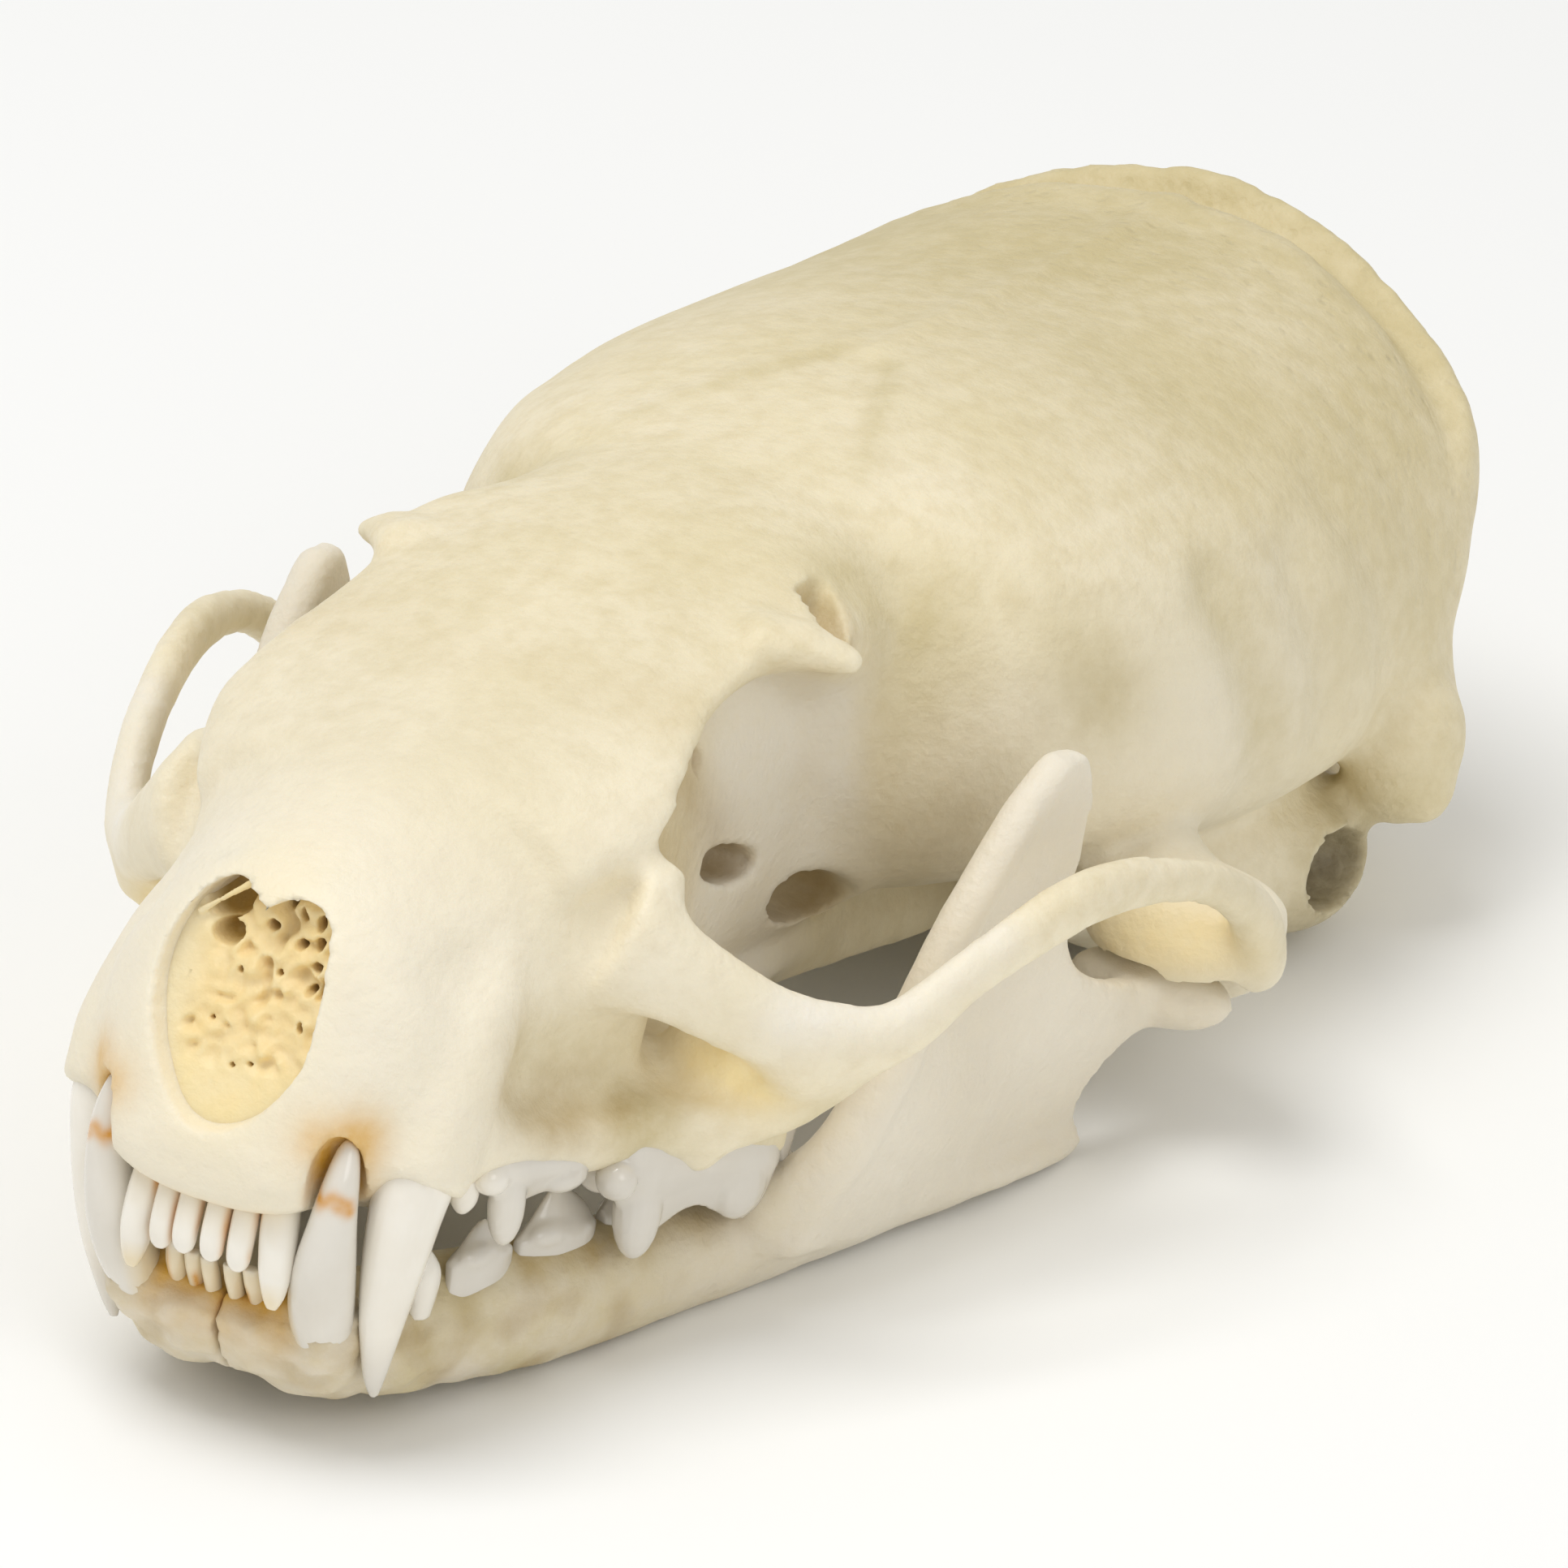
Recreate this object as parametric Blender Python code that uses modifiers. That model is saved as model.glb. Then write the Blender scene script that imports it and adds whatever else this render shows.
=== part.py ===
"""A long-tailed weasel's skull, with its lower jaw closed and all of its teeth, in metres, +Z up.

The skull's own frame, in which its sizes are given, is in millimetres: X to the animal's left, Y from
the nose to the back of the head, Z up from the line of the upper teeth. The skull is tipped nose up by
PITCH and stood on z = 0, as it rests on its lower jaw and its ear capsules.
"""
import math

import bmesh
import bpy
from mathutils import Matrix, Vector

# Driving dimensions, in millimetres and degrees
CONDYLE_END = 47.4
BRAINCASE_HALF_WIDTH = 10.5
ARCH_HEIGHT, ARCH_THICKNESS = 0.72, 0.5
HINGE_Y, HINGE_Z = 26.95, -0.1
CONDYLE_RADIUS, CONDYLE_INNER, CONDYLE_OUTER = 0.92, 8.0, 12.1
FOSSA_CLEARANCE = 0.2
SOCKET_GAP = 0.06
SYMPHYSIS_GAP = 0.04
PITCH = 6.64
REST_DROP = -6.96
REST_SHIFT = 24.15

VOXEL = 0.42
CRANIUM_FACES, MANDIBLE_FACES = 2420, 730
RING_POINTS = 24
TUBE_POINTS = 10
MIRROR_MERGE = 0.001
MM = 0.001

# Cross sections of the skull's body, from front to back: y, half width, height of the widest place,
# top, bottom, roundness above and below (2 is an ellipse, more is squarer)
ROSTRUM = [
    (0.45, 1.6, 0.4, 0.95, -0.4, 2.2, 2.4),
    (0.85, 2.7, 0.6, 1.8, -0.55, 2.2, 2.6),
    (1.9, 3.5, 1.4, 5.0, -0.6, 2.0, 3.0),
    (3.2, 4.4, 1.6, 6.55, -0.5, 2.1, 3.0),
    (5.5, 4.6, 2.2, 7.55, -0.3, 2.2, 3.0),
    (8.0, 5.3, 3.4, 8.5, -0.4, 2.3, 3.0),
    (10.0, 6.0, 4.6, 9.1, -0.7, 2.4, 3.0),
    (11.3, 5.0, 5.0, 9.4, -0.6, 2.4, 3.0),
]
FRONTAL_ROOF = [
    (7.5, 5.0, 6.2, 8.3, 5.0, 2.0, 2.0),
    (9.6, 6.1, 7.3, 9.05, 6.2, 2.0, 2.0),
    (11.5, 6.1, 8.6, 9.7, 7.4, 2.0, 2.0),
    (13.6, 6.2, 9.3, 10.3, 8.3, 2.0, 2.0),
    (15.6, 6.4, 9.7, 10.8, 8.7, 2.0, 2.0),
    (17.4, 6.2, 9.7, 11.2, 8.3, 2.1, 2.0),
    (18.8, 5.6, 9.4, 11.5, 7.0, 2.2, 2.0),
    (21.0, 5.3, 8.6, 11.8, 6.0, 2.4, 2.0),
    (24.0, 6.0, 8.0, 12.0, 6.0, 2.4, 2.0),
]
ORBIT_WALL = [
    (9.0, 5.0, 4.0, 8.4, 0.0, 3.0, 3.0),
    (11.0, 4.9, 5.0, 9.0, -0.2, 3.0, 3.0),
    (12.8, 4.5, 5.5, 9.4, 0.0, 3.0, 3.0),
    (15.0, 4.2, 5.5, 9.9, 0.2, 3.0, 3.0),
    (18.0, 4.1, 5.2, 10.5, 0.3, 3.0, 3.0),
    (20.5, 4.4, 5.2, 10.9, 0.4, 2.6, 3.0),
    (23.0, 5.6, 5.2, 11.2, 0.6, 2.4, 2.4),
]
BRAINCASE = [
    (19.0, 3.9, 7.0, 10.9, 2.6, 2.2, 2.0),
    (21.0, 5.5, 6.8, 11.7, 1.8, 2.4, 2.0),
    (23.5, 8.0, 6.3, 12.15, 1.1, 2.5, 2.1),
    (27.0, 9.5, 5.6, 12.55, 0.7, 2.5, 2.2),
    (31.0, 10.3, 5.2, 12.8, 0.5, 2.45, 2.3),
    (35.0, BRAINCASE_HALF_WIDTH, 5.0, 12.8, 0.5, 2.4, 2.4),
    (39.0, 10.2, 5.0, 12.85, 0.7, 2.4, 2.4),
    (42.0, 9.6, 5.4, 12.95, 1.0, 2.4, 2.3),
    (44.2, 8.2, 5.6, 12.9, 1.4, 2.4, 2.2),
    (45.7, 5.6, 5.6, 12.3, 1.8, 2.2, 2.0),
]
PALATE = [
    (3.0, 3.9, 0.2, 1.2, -0.7, 3.0, 3.5),
    (6.0, 4.9, 0.0, 1.6, -0.8, 3.0, 3.5),
    (9.5, 6.2, -0.1, 2.0, -1.0, 3.0, 3.5),
    (12.5, 7.0, -0.2, 1.8, -1.2, 3.0, 3.5),
    (15.0, 7.2, -0.3, 1.2, -1.2, 3.0, 3.0),
    (16.6, 5.2, -0.2, 1.2, -0.9, 2.4, 2.4),
    (18.0, 3.8, 0.0, 1.2, -0.6, 2.4, 2.4),
    (22.0, 3.1, 0.1, 1.4, -0.5, 2.4, 2.4),
    (25.0, 2.9, 0.3, 1.6, -0.4, 2.4, 2.4),
]

# Runs on the left side, front to back: x, y, z, then half height and half thickness
ZYGOMATIC_ARCH = [
    (5.5, 8.5, 4.9, 1.8, 0.9),
    (7.0, 9.7, 4.0, 1.25, 0.75),
    (8.7, 11.4, 2.85, 0.95, 0.6),
    (10.24, 13.4, 2.6, 0.8, 0.55),
    (11.2, 15.5, 3.9, ARCH_HEIGHT, ARCH_THICKNESS),
    (12.2, 18.9, 5.0, ARCH_HEIGHT, ARCH_THICKNESS),
    (13.0, 22.4, 4.6, 0.62, ARCH_THICKNESS),
    (13.15, 24.9, 3.45, 0.62, 0.55),
    (13.0, 26.3, 2.2, 0.7, 0.65),
    (12.65, 27.1, 1.2, 0.8, 0.75),
    (11.5, 28.1, 1.1, 0.9, 1.0),
    (9.0, 28.6, 2.1, 1.3, 1.5),
]
CHEEK_ROOT = [
    (5.9, 9.9, 0.35, 0.85, 0.8),
    (7.2, 11.6, 0.15, 0.7, 0.7),
    (8.5, 12.8, 0.95, 0.75, 0.6),
    (9.7, 13.2, 2.2, 0.75, 0.5),
]
CANINE_SOCKET = [
    (3.85, 3.3, 0.2, 1.35, 1.35),
    (3.9, 4.3, 2.0, 1.4, 1.3),
    (3.7, 6.2, 4.2, 1.2, 1.1),
    (3.4, 8.2, 5.8, 0.9, 0.8),
]
NUCHAL_CREST = [
    (-1.2, 46.1, 12.35, 1.15, 0.55),
    (0.0, 46.2, 12.4, 1.15, 0.55),
    (3.1, 45.9, 11.85, 1.15, 0.55),
    (6.2, 45.1, 10.4, 1.2, 0.55),
    (8.35, 43.9, 8.85, 1.25, 0.6),
    (9.1, 42.5, 7.2, 1.15, 0.65),
    (9.25, 41.4, 4.8, 1.1, 0.8),
    (9.9, 40.8, 2.4, 1.0, 1.0),
]
PTERYGOID = [
    (2.3, 22.0, 0.2, 1.0, 0.5),
    (2.4, 26.0, -0.2, 1.1, 0.45),
    (2.7, 29.5, -0.5, 0.9, 0.4),
    (3.1, 31.5, -0.4, 0.6, 0.4),
]
# Rounded lumps on the left side: centre, then half sizes
POSTORBITAL_PROCESS = ((5.8, 16.4, 9.95), (1.15, 1.6, 0.75))
POSTORBITAL_TIP = ((6.5, 17.0, 9.75), (0.45, 0.75, 0.4))
ORBIT_SPUR = ((6.2, 9.7, 6.0), (0.45, 0.6, 0.8))
MASTOID = ((9.7, 39.8, 2.2), (1.35, 1.9, 2.2))
EAR_CAPSULE = ((5.7, 37.0, -0.1), (3.4, 6.6, 2.5))
EAR_CAPSULE_FRONT = ((4.9, 32.0, 0.3), (2.2, 3.2, 1.7))
EAR_CANAL = ((8.2, 37.9, -0.4), (1.6, 2.6, 1.7))
OCCIPITAL_CONDYLE = ((2.7, CONDYLE_END - 2.2, 2.5), (1.75, 2.2, 1.5))
JAW_SOCKET_ROOF = ((10.3, 27.7, 1.9), (2.7, 1.8, 1.05))
JAW_SOCKET_FRONT = ((10.6, 26.65, 1.55), (2.45, 1.15, 1.35))
POSTGLENOID = ((10.0, 28.8, 0.4), (2.2, 0.75, 1.3))
JAW_NECK_NOTCH = ((9.15, 24.6, -1.5), (10.8, 26.9, 0.85))

# The lower jaw's left half, front to back: x, y, z, then half height and half thickness
JAW_BODY = [
    (0.6, 2.3, -3.5, 0.8, 0.9),
    (1.1, 3.2, -4.1, 1.3, 1.35),
    (1.9, 4.5, -4.35, 1.4, 1.65),
    (3.05, 6.5, -4.3, 1.5, 1.35),
    (4.1, 8.9, -4.3, 1.5, 1.15),
    (5.0, 12.0, -4.15, 1.45, 1.1),
    (5.9, 15.0, -3.95, 1.4, 1.1),
    (7.2, 18.0, -3.4, 1.35, 1.0),
    (8.3, 21.0, -3.0, 1.4, 0.7),
]
LOWER_CANINE_SOCKET = [
    (2.0, 3.8, -4.6, 1.0, 0.9),
    (2.25, 2.9, -3.8, 0.95, 0.85),
    (2.4, 2.25, -3.15, 0.8, 0.75),
]
JAW_LOWER_EDGE = [
    (6.4, 15.5, -4.2, 0.55, 0.75),
    (7.9, 19.5, -3.8, 0.5, 0.65),
    (8.9, 23.0, -3.75, 0.45, 0.55),
    (9.2, 25.3, -3.65, 0.38, 0.42),
]
CORONOID_FRONT_EDGE = [
    (6.5, 14.6, -3.2, 0.9, 0.85),
    (7.9, 15.4, -1.9, 0.75, 0.7),
    (8.8, 16.2, 0.4, 0.65, 0.65),
    (9.4, 17.6, 3.4, 0.55, 0.62),
    (9.8, 19.6, 6.0, 0.5, 0.55),
    (10.0, 21.0, 7.1, 0.45, 0.48),
]
# The flat of the jaw's branch in side view (y, z); it leans outwards as it goes back and up
BRANCH_OUTLINE = [
    (14.6, -4.1), (15.2, -2.4), (16.0, 0.2), (17.4, 3.4), (19.6, 6.2), (20.9, 7.3), (21.8, 7.1),
    (22.3, 5.6), (22.2, 3.4), (22.9, 1.7), (24.6, 0.7), (26.0, 0.4), (26.9, 0.5), (26.9, -0.7),
    (25.7, -1.4), (25.0, -2.4), (25.3, -3.8), (22.0, -3.95), (18.0, -4.2),
]
BRANCH_THICKNESS = 0.8
BRANCH_LEAN_BACK, BRANCH_LEAN_UP = 0.13, 0.09
BRANCH_ORIGIN = (8.55, 15.6, -0.8)

# The opening of the nose in front view (x, z): two rounded lobes above, a narrow foot below
NOSE_OPENING = [(0.0, 5.95), (0.75, 6.35), (1.5, 6.1), (2.05, 5.0), (1.95, 3.6), (1.35, 2.2), (0.0, 1.6)]
NOSE_DEPTH = 4.2
FORAMEN_MAGNUM = ((0.0, 47.0, 4.1), (2.5, 3.8, 2.2))

BONE, BONE_PALE, ENAMEL = (0.80, 0.72, 0.52), (0.82, 0.77, 0.66), (0.88, 0.87, 0.83)


def material(name, colour, roughness):
    """A plain material of one colour."""
    made = bpy.data.materials.new(name)
    made.use_nodes = True
    shader = made.node_tree.nodes["Principled BSDF"]
    shader.inputs["Base Color"].default_value = (*colour, 1.0)
    shader.inputs["Roughness"].default_value = roughness
    shader.inputs["Metallic"].default_value = 0.0
    return made


def smooth_rows(rows, steps):
    """Rows of numbers with steps - 1 rows added between each two, on a smooth curve through them all."""
    padded = [rows[0], *rows, rows[-1]]
    made = []
    for i in range(1, len(padded) - 2):
        before, start, end, after = padded[i - 1:i + 3]
        for k in range(steps):
            t = k / steps
            made.append(tuple(
                0.5 * (2 * b + (c - a) * t + (2 * a - 5 * b + 4 * c - d) * t * t
                       + (3 * b - a - 3 * c + d) * t ** 3)
                for a, b, c, d in zip(before, start, end, after)
            ))
    return made + [rows[-1]]


def skin(bm, rings):
    """A closed tube over rings of points, each ring of the same count, with its ends closed."""
    loops = [[bm.verts.new(point) for point in ring] for ring in rings]
    count = len(rings[0])
    faces = [bm.faces.new(reversed(loops[0])), bm.faces.new(loops[-1])]
    for low, high in zip(loops, loops[1:]):
        for i in range(count):
            j = (i + 1) % count
            faces.append(bm.faces.new((low[i], low[j], high[j], high[i])))
    bmesh.ops.recalc_face_normals(bm, faces=faces)


def body_section(y, half_width, z_wide, top, bottom, round_top, round_bottom):
    """A cross section of the skull's body at y, symmetric about its middle plane."""
    ring = []
    for i in range(RING_POINTS):
        turn = math.tau * i / RING_POINTS
        c, s = math.cos(turn), math.sin(turn)
        power = round_top if s >= 0 else round_bottom
        reach = (abs(c) ** power + abs(s) ** power) ** (-1 / power)
        height = (top - z_wide) if s >= 0 else (z_wide - bottom)
        ring.append((half_width * reach * c, y, z_wide + height * reach * s))
    return ring


def tube_rings(rows, points=TUBE_POINTS):
    """Oval rings along a run of (x, y, z, half height, half thickness)."""
    rings = []
    for i, (x, y, z, half_height, half_thickness) in enumerate(rows):
        ahead = Vector(rows[min(i + 1, len(rows) - 1)][:3]) - Vector(rows[max(i - 1, 0)][:3])
        side = ahead.cross(Vector((0, 0, 1)))
        if side.length < 0.3 * ahead.length:
            side = ahead.cross(Vector((0, -1, 0)))
        side.normalize()
        up = side.cross(ahead).normalized()
        rings.append([
            Vector((x, y, z)) + up * half_height * math.sin(math.tau * k / points)
            + side * half_thickness * math.cos(math.tau * k / points)
            for k in range(points)
        ])
    return rings


def body(bm, rows):
    skin(bm, [body_section(*row) for row in smooth_rows(rows, 3)])


def tube(bm, rows, steps=3, points=TUBE_POINTS):
    skin(bm, tube_rings(smooth_rows(rows, steps), points))


def lump(bm, shape, segments=16, rings=10):
    centre, half_sizes = shape
    place = Matrix.Translation(centre) @ Matrix.Diagonal((*half_sizes, 1.0))
    bmesh.ops.create_uvsphere(bm, u_segments=segments, v_segments=rings, radius=1.0, matrix=place)


def raw_object(name, bm, collection):
    mesh = bpy.data.meshes.new(name)
    bm.to_mesh(mesh)
    bm.free()
    made = bpy.data.objects.new(name, mesh)
    collection.objects.link(made)
    return made


def cutter(name, bm, collection):
    made = raw_object(name, bm, collection)
    made.hide_render = True
    made.display_type = "WIRE"
    return made


def carve(piece, tool):
    """Cuts tool's shape from the piece."""
    cut = piece.modifiers.new("cut_" + tool.name, "BOOLEAN")
    cut.operation = "DIFFERENCE"
    cut.object = tool


def settle(piece):
    """Makes what the modifiers give the piece's own mesh."""
    graph = bpy.context.evaluated_depsgraph_get()
    made = bpy.data.meshes.new_from_object(piece.evaluated_get(graph))
    piece.modifiers.clear()
    old = piece.data
    piece.data = made
    bpy.data.meshes.remove(old)


def grow(piece, faces):
    """Melts the piece's overlapping shapes into one closed skin of about this many triangles."""
    melt = piece.modifiers.new("melt", "REMESH")
    melt.mode = "VOXEL"
    melt.voxel_size = VOXEL
    soften = piece.modifiers.new("soften", "SMOOTH")
    soften.factor = 0.5
    soften.iterations = 2
    settle(piece)
    thin = piece.modifiers.new("thin", "DECIMATE")
    thin.ratio = faces / (2 * len(piece.data.polygons))
    settle(piece)


def build_cranium(parts, tools):
    """The skull's bone. What isn't on its middle plane is made on the left only, until complete_cranium."""
    bm = bmesh.new()
    for rows in (ROSTRUM, FRONTAL_ROOF, ORBIT_WALL, BRAINCASE, PALATE):
        body(bm, rows)
    for rows in (ZYGOMATIC_ARCH, CHEEK_ROOT, CANINE_SOCKET, NUCHAL_CREST, PTERYGOID):
        tube(bm, rows)
    for shape in (
        POSTORBITAL_PROCESS, POSTORBITAL_TIP, ORBIT_SPUR, MASTOID, EAR_CAPSULE, EAR_CAPSULE_FRONT,
        EAR_CANAL, OCCIPITAL_CONDYLE, JAW_SOCKET_ROOF, JAW_SOCKET_FRONT, POSTGLENOID,
    ):
        lump(bm, shape)
    cranium = raw_object("cranium", bm, parts)
    grow(cranium, CRANIUM_FACES)
    for tool in (nose_cutter, magnum_cutter, jaw_socket_cutter, jaw_neck_cutter, canine_notch_cutter):
        carve(cranium, tool(tools))
    return cranium


def complete_cranium(cranium):
    """Replaces the right half by the mirror image of the left one."""
    mirror = cranium.modifiers.new("mirror", "MIRROR")
    mirror.use_axis = (True, False, False)
    mirror.use_bisect_axis = (True, False, False)
    mirror.merge_threshold = MIRROR_MERGE
    settle(cranium)


def right_side(piece, parts):
    """The mirror image of a piece of the left side."""
    mesh = piece.data.copy()
    mesh.transform(Matrix.Diagonal((-1, 1, 1, 1)))
    mesh.flip_normals()
    made = bpy.data.objects.new(piece.name.replace("_left", "_right"), mesh)
    parts.objects.link(made)
    return made


def nose_cutter(tools):
    """The hollow of the nose: its front outline, narrowed towards its inner end."""
    half = [*NOSE_OPENING]
    outline = half + [(-x, z) for x, z in reversed(half[1:-1])]
    middle_z = 3.9
    rings = []
    for depth, size in ((-1.5, 1.0), (2.6, 1.0), (NOSE_DEPTH + 1.3, 0.6)):
        rings.append([(x * size, depth + 0.18 * (z - middle_z), middle_z + (z - middle_z) * size)
                      for x, z in outline])
    bm = bmesh.new()
    skin(bm, rings)
    return cutter("nose_hollow", bm, tools)


def magnum_cutter(tools):
    bm = bmesh.new()
    lump(bm, FORAMEN_MAGNUM, 14, 8)
    return cutter("foramen_magnum_hollow", bm, tools)


def jaw_socket_cutter(tools):
    """The trough that the jaw's condyle turns in."""
    bm = bmesh.new()
    half_length = (CONDYLE_OUTER - CONDYLE_INNER) / 2 + 0.35
    middle = (CONDYLE_OUTER + CONDYLE_INNER) / 2
    place = Matrix.Translation((middle, HINGE_Y, HINGE_Z)) @ Matrix.Rotation(math.pi / 2, 4, "Y")
    radius = CONDYLE_RADIUS + FOSSA_CLEARANCE
    bmesh.ops.create_cone(
        bm, cap_ends=True, segments=18, radius1=radius, radius2=radius, depth=2 * half_length, matrix=place)
    return cutter("jaw_socket_hollow", bm, tools)


def jaw_neck_cutter(tools):
    """The way through the front of the socket for the neck of the condyle."""
    low, high = (Vector(corner) for corner in JAW_NECK_NOTCH)
    bm = bmesh.new()
    bmesh.ops.create_cube(bm, size=1.0, matrix=Matrix.Translation((low + high) / 2)
                          @ Matrix.Diagonal((*(high - low), 1.0)))
    return cutter("jaw_neck_notch", bm, tools)


def canine_notch_cutter(tools):
    """The hollow between incisors and upper canine that the lower canine closes into."""
    bm = bmesh.new()
    lump(bm, LOWER_CANINE_NOTCH, 14, 8)
    return cutter("canine_notch", bm, tools)


def branch_x(y, z):
    x, y0, z0 = BRANCH_ORIGIN
    return x + BRANCH_LEAN_BACK * (y - y0) + BRANCH_LEAN_UP * (z - z0)


def build_mandible(parts, tools):
    bm = bmesh.new()
    for rows in (JAW_BODY, LOWER_CANINE_SOCKET, JAW_LOWER_EDGE, CORONOID_FRONT_EDGE):
        tube(bm, rows)
    skin(bm, [
        [(branch_x(y, z) + offset, y, z) for y, z in BRANCH_OUTLINE]
        for offset in (-BRANCH_THICKNESS / 2, BRANCH_THICKNESS / 2)
    ])
    middle = (CONDYLE_OUTER + CONDYLE_INNER) / 2
    place = Matrix.Translation((middle, HINGE_Y, HINGE_Z)) @ Matrix.Rotation(math.pi / 2, 4, "Y")
    bmesh.ops.create_cone(bm, cap_ends=True, segments=16, radius1=CONDYLE_RADIUS, radius2=CONDYLE_RADIUS,
                          depth=CONDYLE_OUTER - CONDYLE_INNER, matrix=place)
    jaw = raw_object("mandible_left", bm, parts)
    grow(jaw, MANDIBLE_FACES)
    far_half = bmesh.new()
    bmesh.ops.create_cube(far_half, size=1.0, matrix=Matrix.Translation((SYMPHYSIS_GAP / 2 - 5, 5, -4))
                          @ Matrix.Diagonal((10, 16, 12, 1)))
    carve(jaw, cutter("chin_line", far_half, tools))
    return jaw


# Peg teeth on the left side, from the root to the tip: x, y, z, then half length and half width
UPPER_PEGS = {
    "upper_incisor_1": [
        (0.36, 1.35, 0.5, 0.24, 0.18), (0.36, 1.15, -0.5, 0.34, 0.26), (0.36, 0.9, -1.25, 0.26, 0.28),
        (0.36, 0.82, -1.85, 0.1, 0.2)],
    "upper_incisor_2": [
        (0.98, 1.5, 0.5, 0.24, 0.18), (0.98, 1.25, -0.5, 0.36, 0.27), (1.0, 1.0, -1.3, 0.28, 0.28),
        (1.0, 0.92, -1.95, 0.1, 0.2)],
    "upper_incisor_3": [
        (1.62, 1.8, 0.6, 0.3, 0.25), (1.66, 1.5, -0.5, 0.46, 0.36), (1.72, 1.25, -1.6, 0.38, 0.34),
        (1.72, 1.15, -2.75, 0.1, 0.12)],
    "upper_canine": [
        (3.9, 4.6, 2.9, 0.6, 0.6), (4.0, 3.5, 0.8, 1.02, 0.88), (3.88, 3.08, -0.9, 0.92, 0.78),
        (3.7, 2.95, -2.8, 0.62, 0.55), (3.5, 3.15, -4.4, 0.3, 0.28), (3.44, 3.3, -5.05, 0.1, 0.1)],
    "upper_premolar_2": [
        (4.35, 4.95, 0.9, 0.3, 0.25), (4.35, 4.95, -0.4, 0.36, 0.34), (4.35, 4.9, -0.85, 0.12, 0.12)],
}
LOWER_PEGS = {
    "lower_incisor_1": [
        (0.32, 2.5, -3.7, 0.2, 0.15), (0.3, 2.1, -2.8, 0.25, 0.18), (0.3, 1.75, -2.15, 0.12, 0.16)],
    "lower_incisor_2": [
        (0.8, 2.6, -3.7, 0.2, 0.15), (0.78, 2.2, -2.8, 0.27, 0.2), (0.76, 1.85, -2.1, 0.12, 0.17)],
    "lower_incisor_3": [
        (1.28, 2.6, -3.7, 0.2, 0.17), (1.28, 2.2, -2.8, 0.28, 0.22), (1.25, 1.95, -2.05, 0.12, 0.18)],
    "lower_canine": [
        (2.3, 3.1, -4.6, 0.55, 0.5), (2.6, 2.2, -3.0, 0.88, 0.8), (2.85, 1.75, -1.6, 0.66, 0.6),
        (2.98, 1.72, -0.2, 0.42, 0.38), (2.96, 1.95, 1.05, 0.1, 0.1)],
    "lower_premolar_2": [
        (3.5, 4.9, -3.6, 0.3, 0.25), (3.55, 4.9, -2.55, 0.48, 0.36), (3.55, 4.85, -1.9, 0.12, 0.12)],
    "lower_molar_2": [
        (6.2, 16.5, -3.6, 0.3, 0.3), (6.15, 16.5, -2.6, 0.5, 0.42), (6.15, 16.5, -2.25, 0.3, 0.24)],
}
# Blade teeth on the left side, from one end to the other: x, y, half width at the gum, the crest's z
UPPER_BLADES = {
    "upper_premolar_3": (-0.3, 0.9, [
        (4.75, 5.45, 0.3, -0.75), (4.9, 6.2, 0.5, -1.7), (5.15, 7.2, 0.5, -0.95), (5.45, 8.5, 0.35, -0.85)]),
    "upper_premolar_4": (-0.75, 1.0, [
        (5.75, 9.0, 0.4, -1.25), (5.95, 9.5, 0.65, -1.6), (6.1, 10.3, 0.7, -3.15), (6.35, 11.6, 0.6, -2.1),
        (6.7, 13.1, 0.55, -2.45), (6.95, 14.2, 0.35, -1.9)]),
    "upper_molar_1": (-0.85, 0.8, [
        (4.2, 15.3, 0.5, -1.3), (4.8, 15.3, 0.6, -1.6), (5.6, 15.25, 0.45, -1.4), (6.5, 15.1, 0.6, -1.9),
        (7.1, 15.0, 0.4, -1.6)]),
}
LOWER_BLADES = {
    "lower_premolar_3": (-2.75, -0.9, [
        (3.75, 5.9, 0.3, -2.2), (3.9, 6.7, 0.42, -1.6), (4.05, 7.6, 0.35, -2.2)]),
    "lower_premolar_4": (-2.75, -0.9, [
        (4.2, 8.1, 0.32, -2.1), (4.4, 9.0, 0.46, -1.35), (4.65, 10.3, 0.36, -2.1)]),
    "lower_molar_1": (-2.75, -1.0, [
        (4.75, 10.8, 0.36, -2.1), (4.9, 11.9, 0.5, -1.2), (5.05, 12.6, 0.5, -1.75), (5.2, 13.4, 0.52, -1.05),
        (5.4, 14.3, 0.5, -2.4), (5.7, 15.6, 0.38, -2.45)]),
}
TOOTH_RING = 8
LOWER_CANINE_NOTCH = ((2.98, 1.5, 0.1), (0.85, 1.15, 2.3))


def peg_tooth(bm, rows):
    """A tooth like a cone: level ovals from the root to the tip."""
    skin(bm, [
        [(x + half_width * math.cos(math.tau * k / TOOTH_RING),
          y + half_length * math.sin(math.tau * k / TOOTH_RING), z) for k in range(TOOTH_RING)]
        for x, y, z, half_length, half_width in rows
    ])


def blade_tooth(bm, gum, root, rows):
    """A tooth like a blade: upright sections from one end to the other, widest at the gum, with a
    root on the far side of the gum from the crest. The sections face along the row of teeth."""
    along = (Vector(rows[-1][:2]) - Vector(rows[0][:2])).normalized()
    across = Vector((along.y, -along.x))
    rings = []
    for x, y, half_width, crest in rows:
        outline = [(-0.55, gum - root * math.copysign(1, crest - gum)), (-1.0, gum), (-0.6, (gum + crest) / 2),
                   (-0.12, crest), (0.12, crest), (0.6, (gum + crest) / 2), (1.0, gum),
                   (0.55, gum - root * math.copysign(1, crest - gum))]
        rings.append([(x + across.x * half_width * s, y + across.y * half_width * s, z) for s, z in outline])
    skin(bm, rings)


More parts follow.
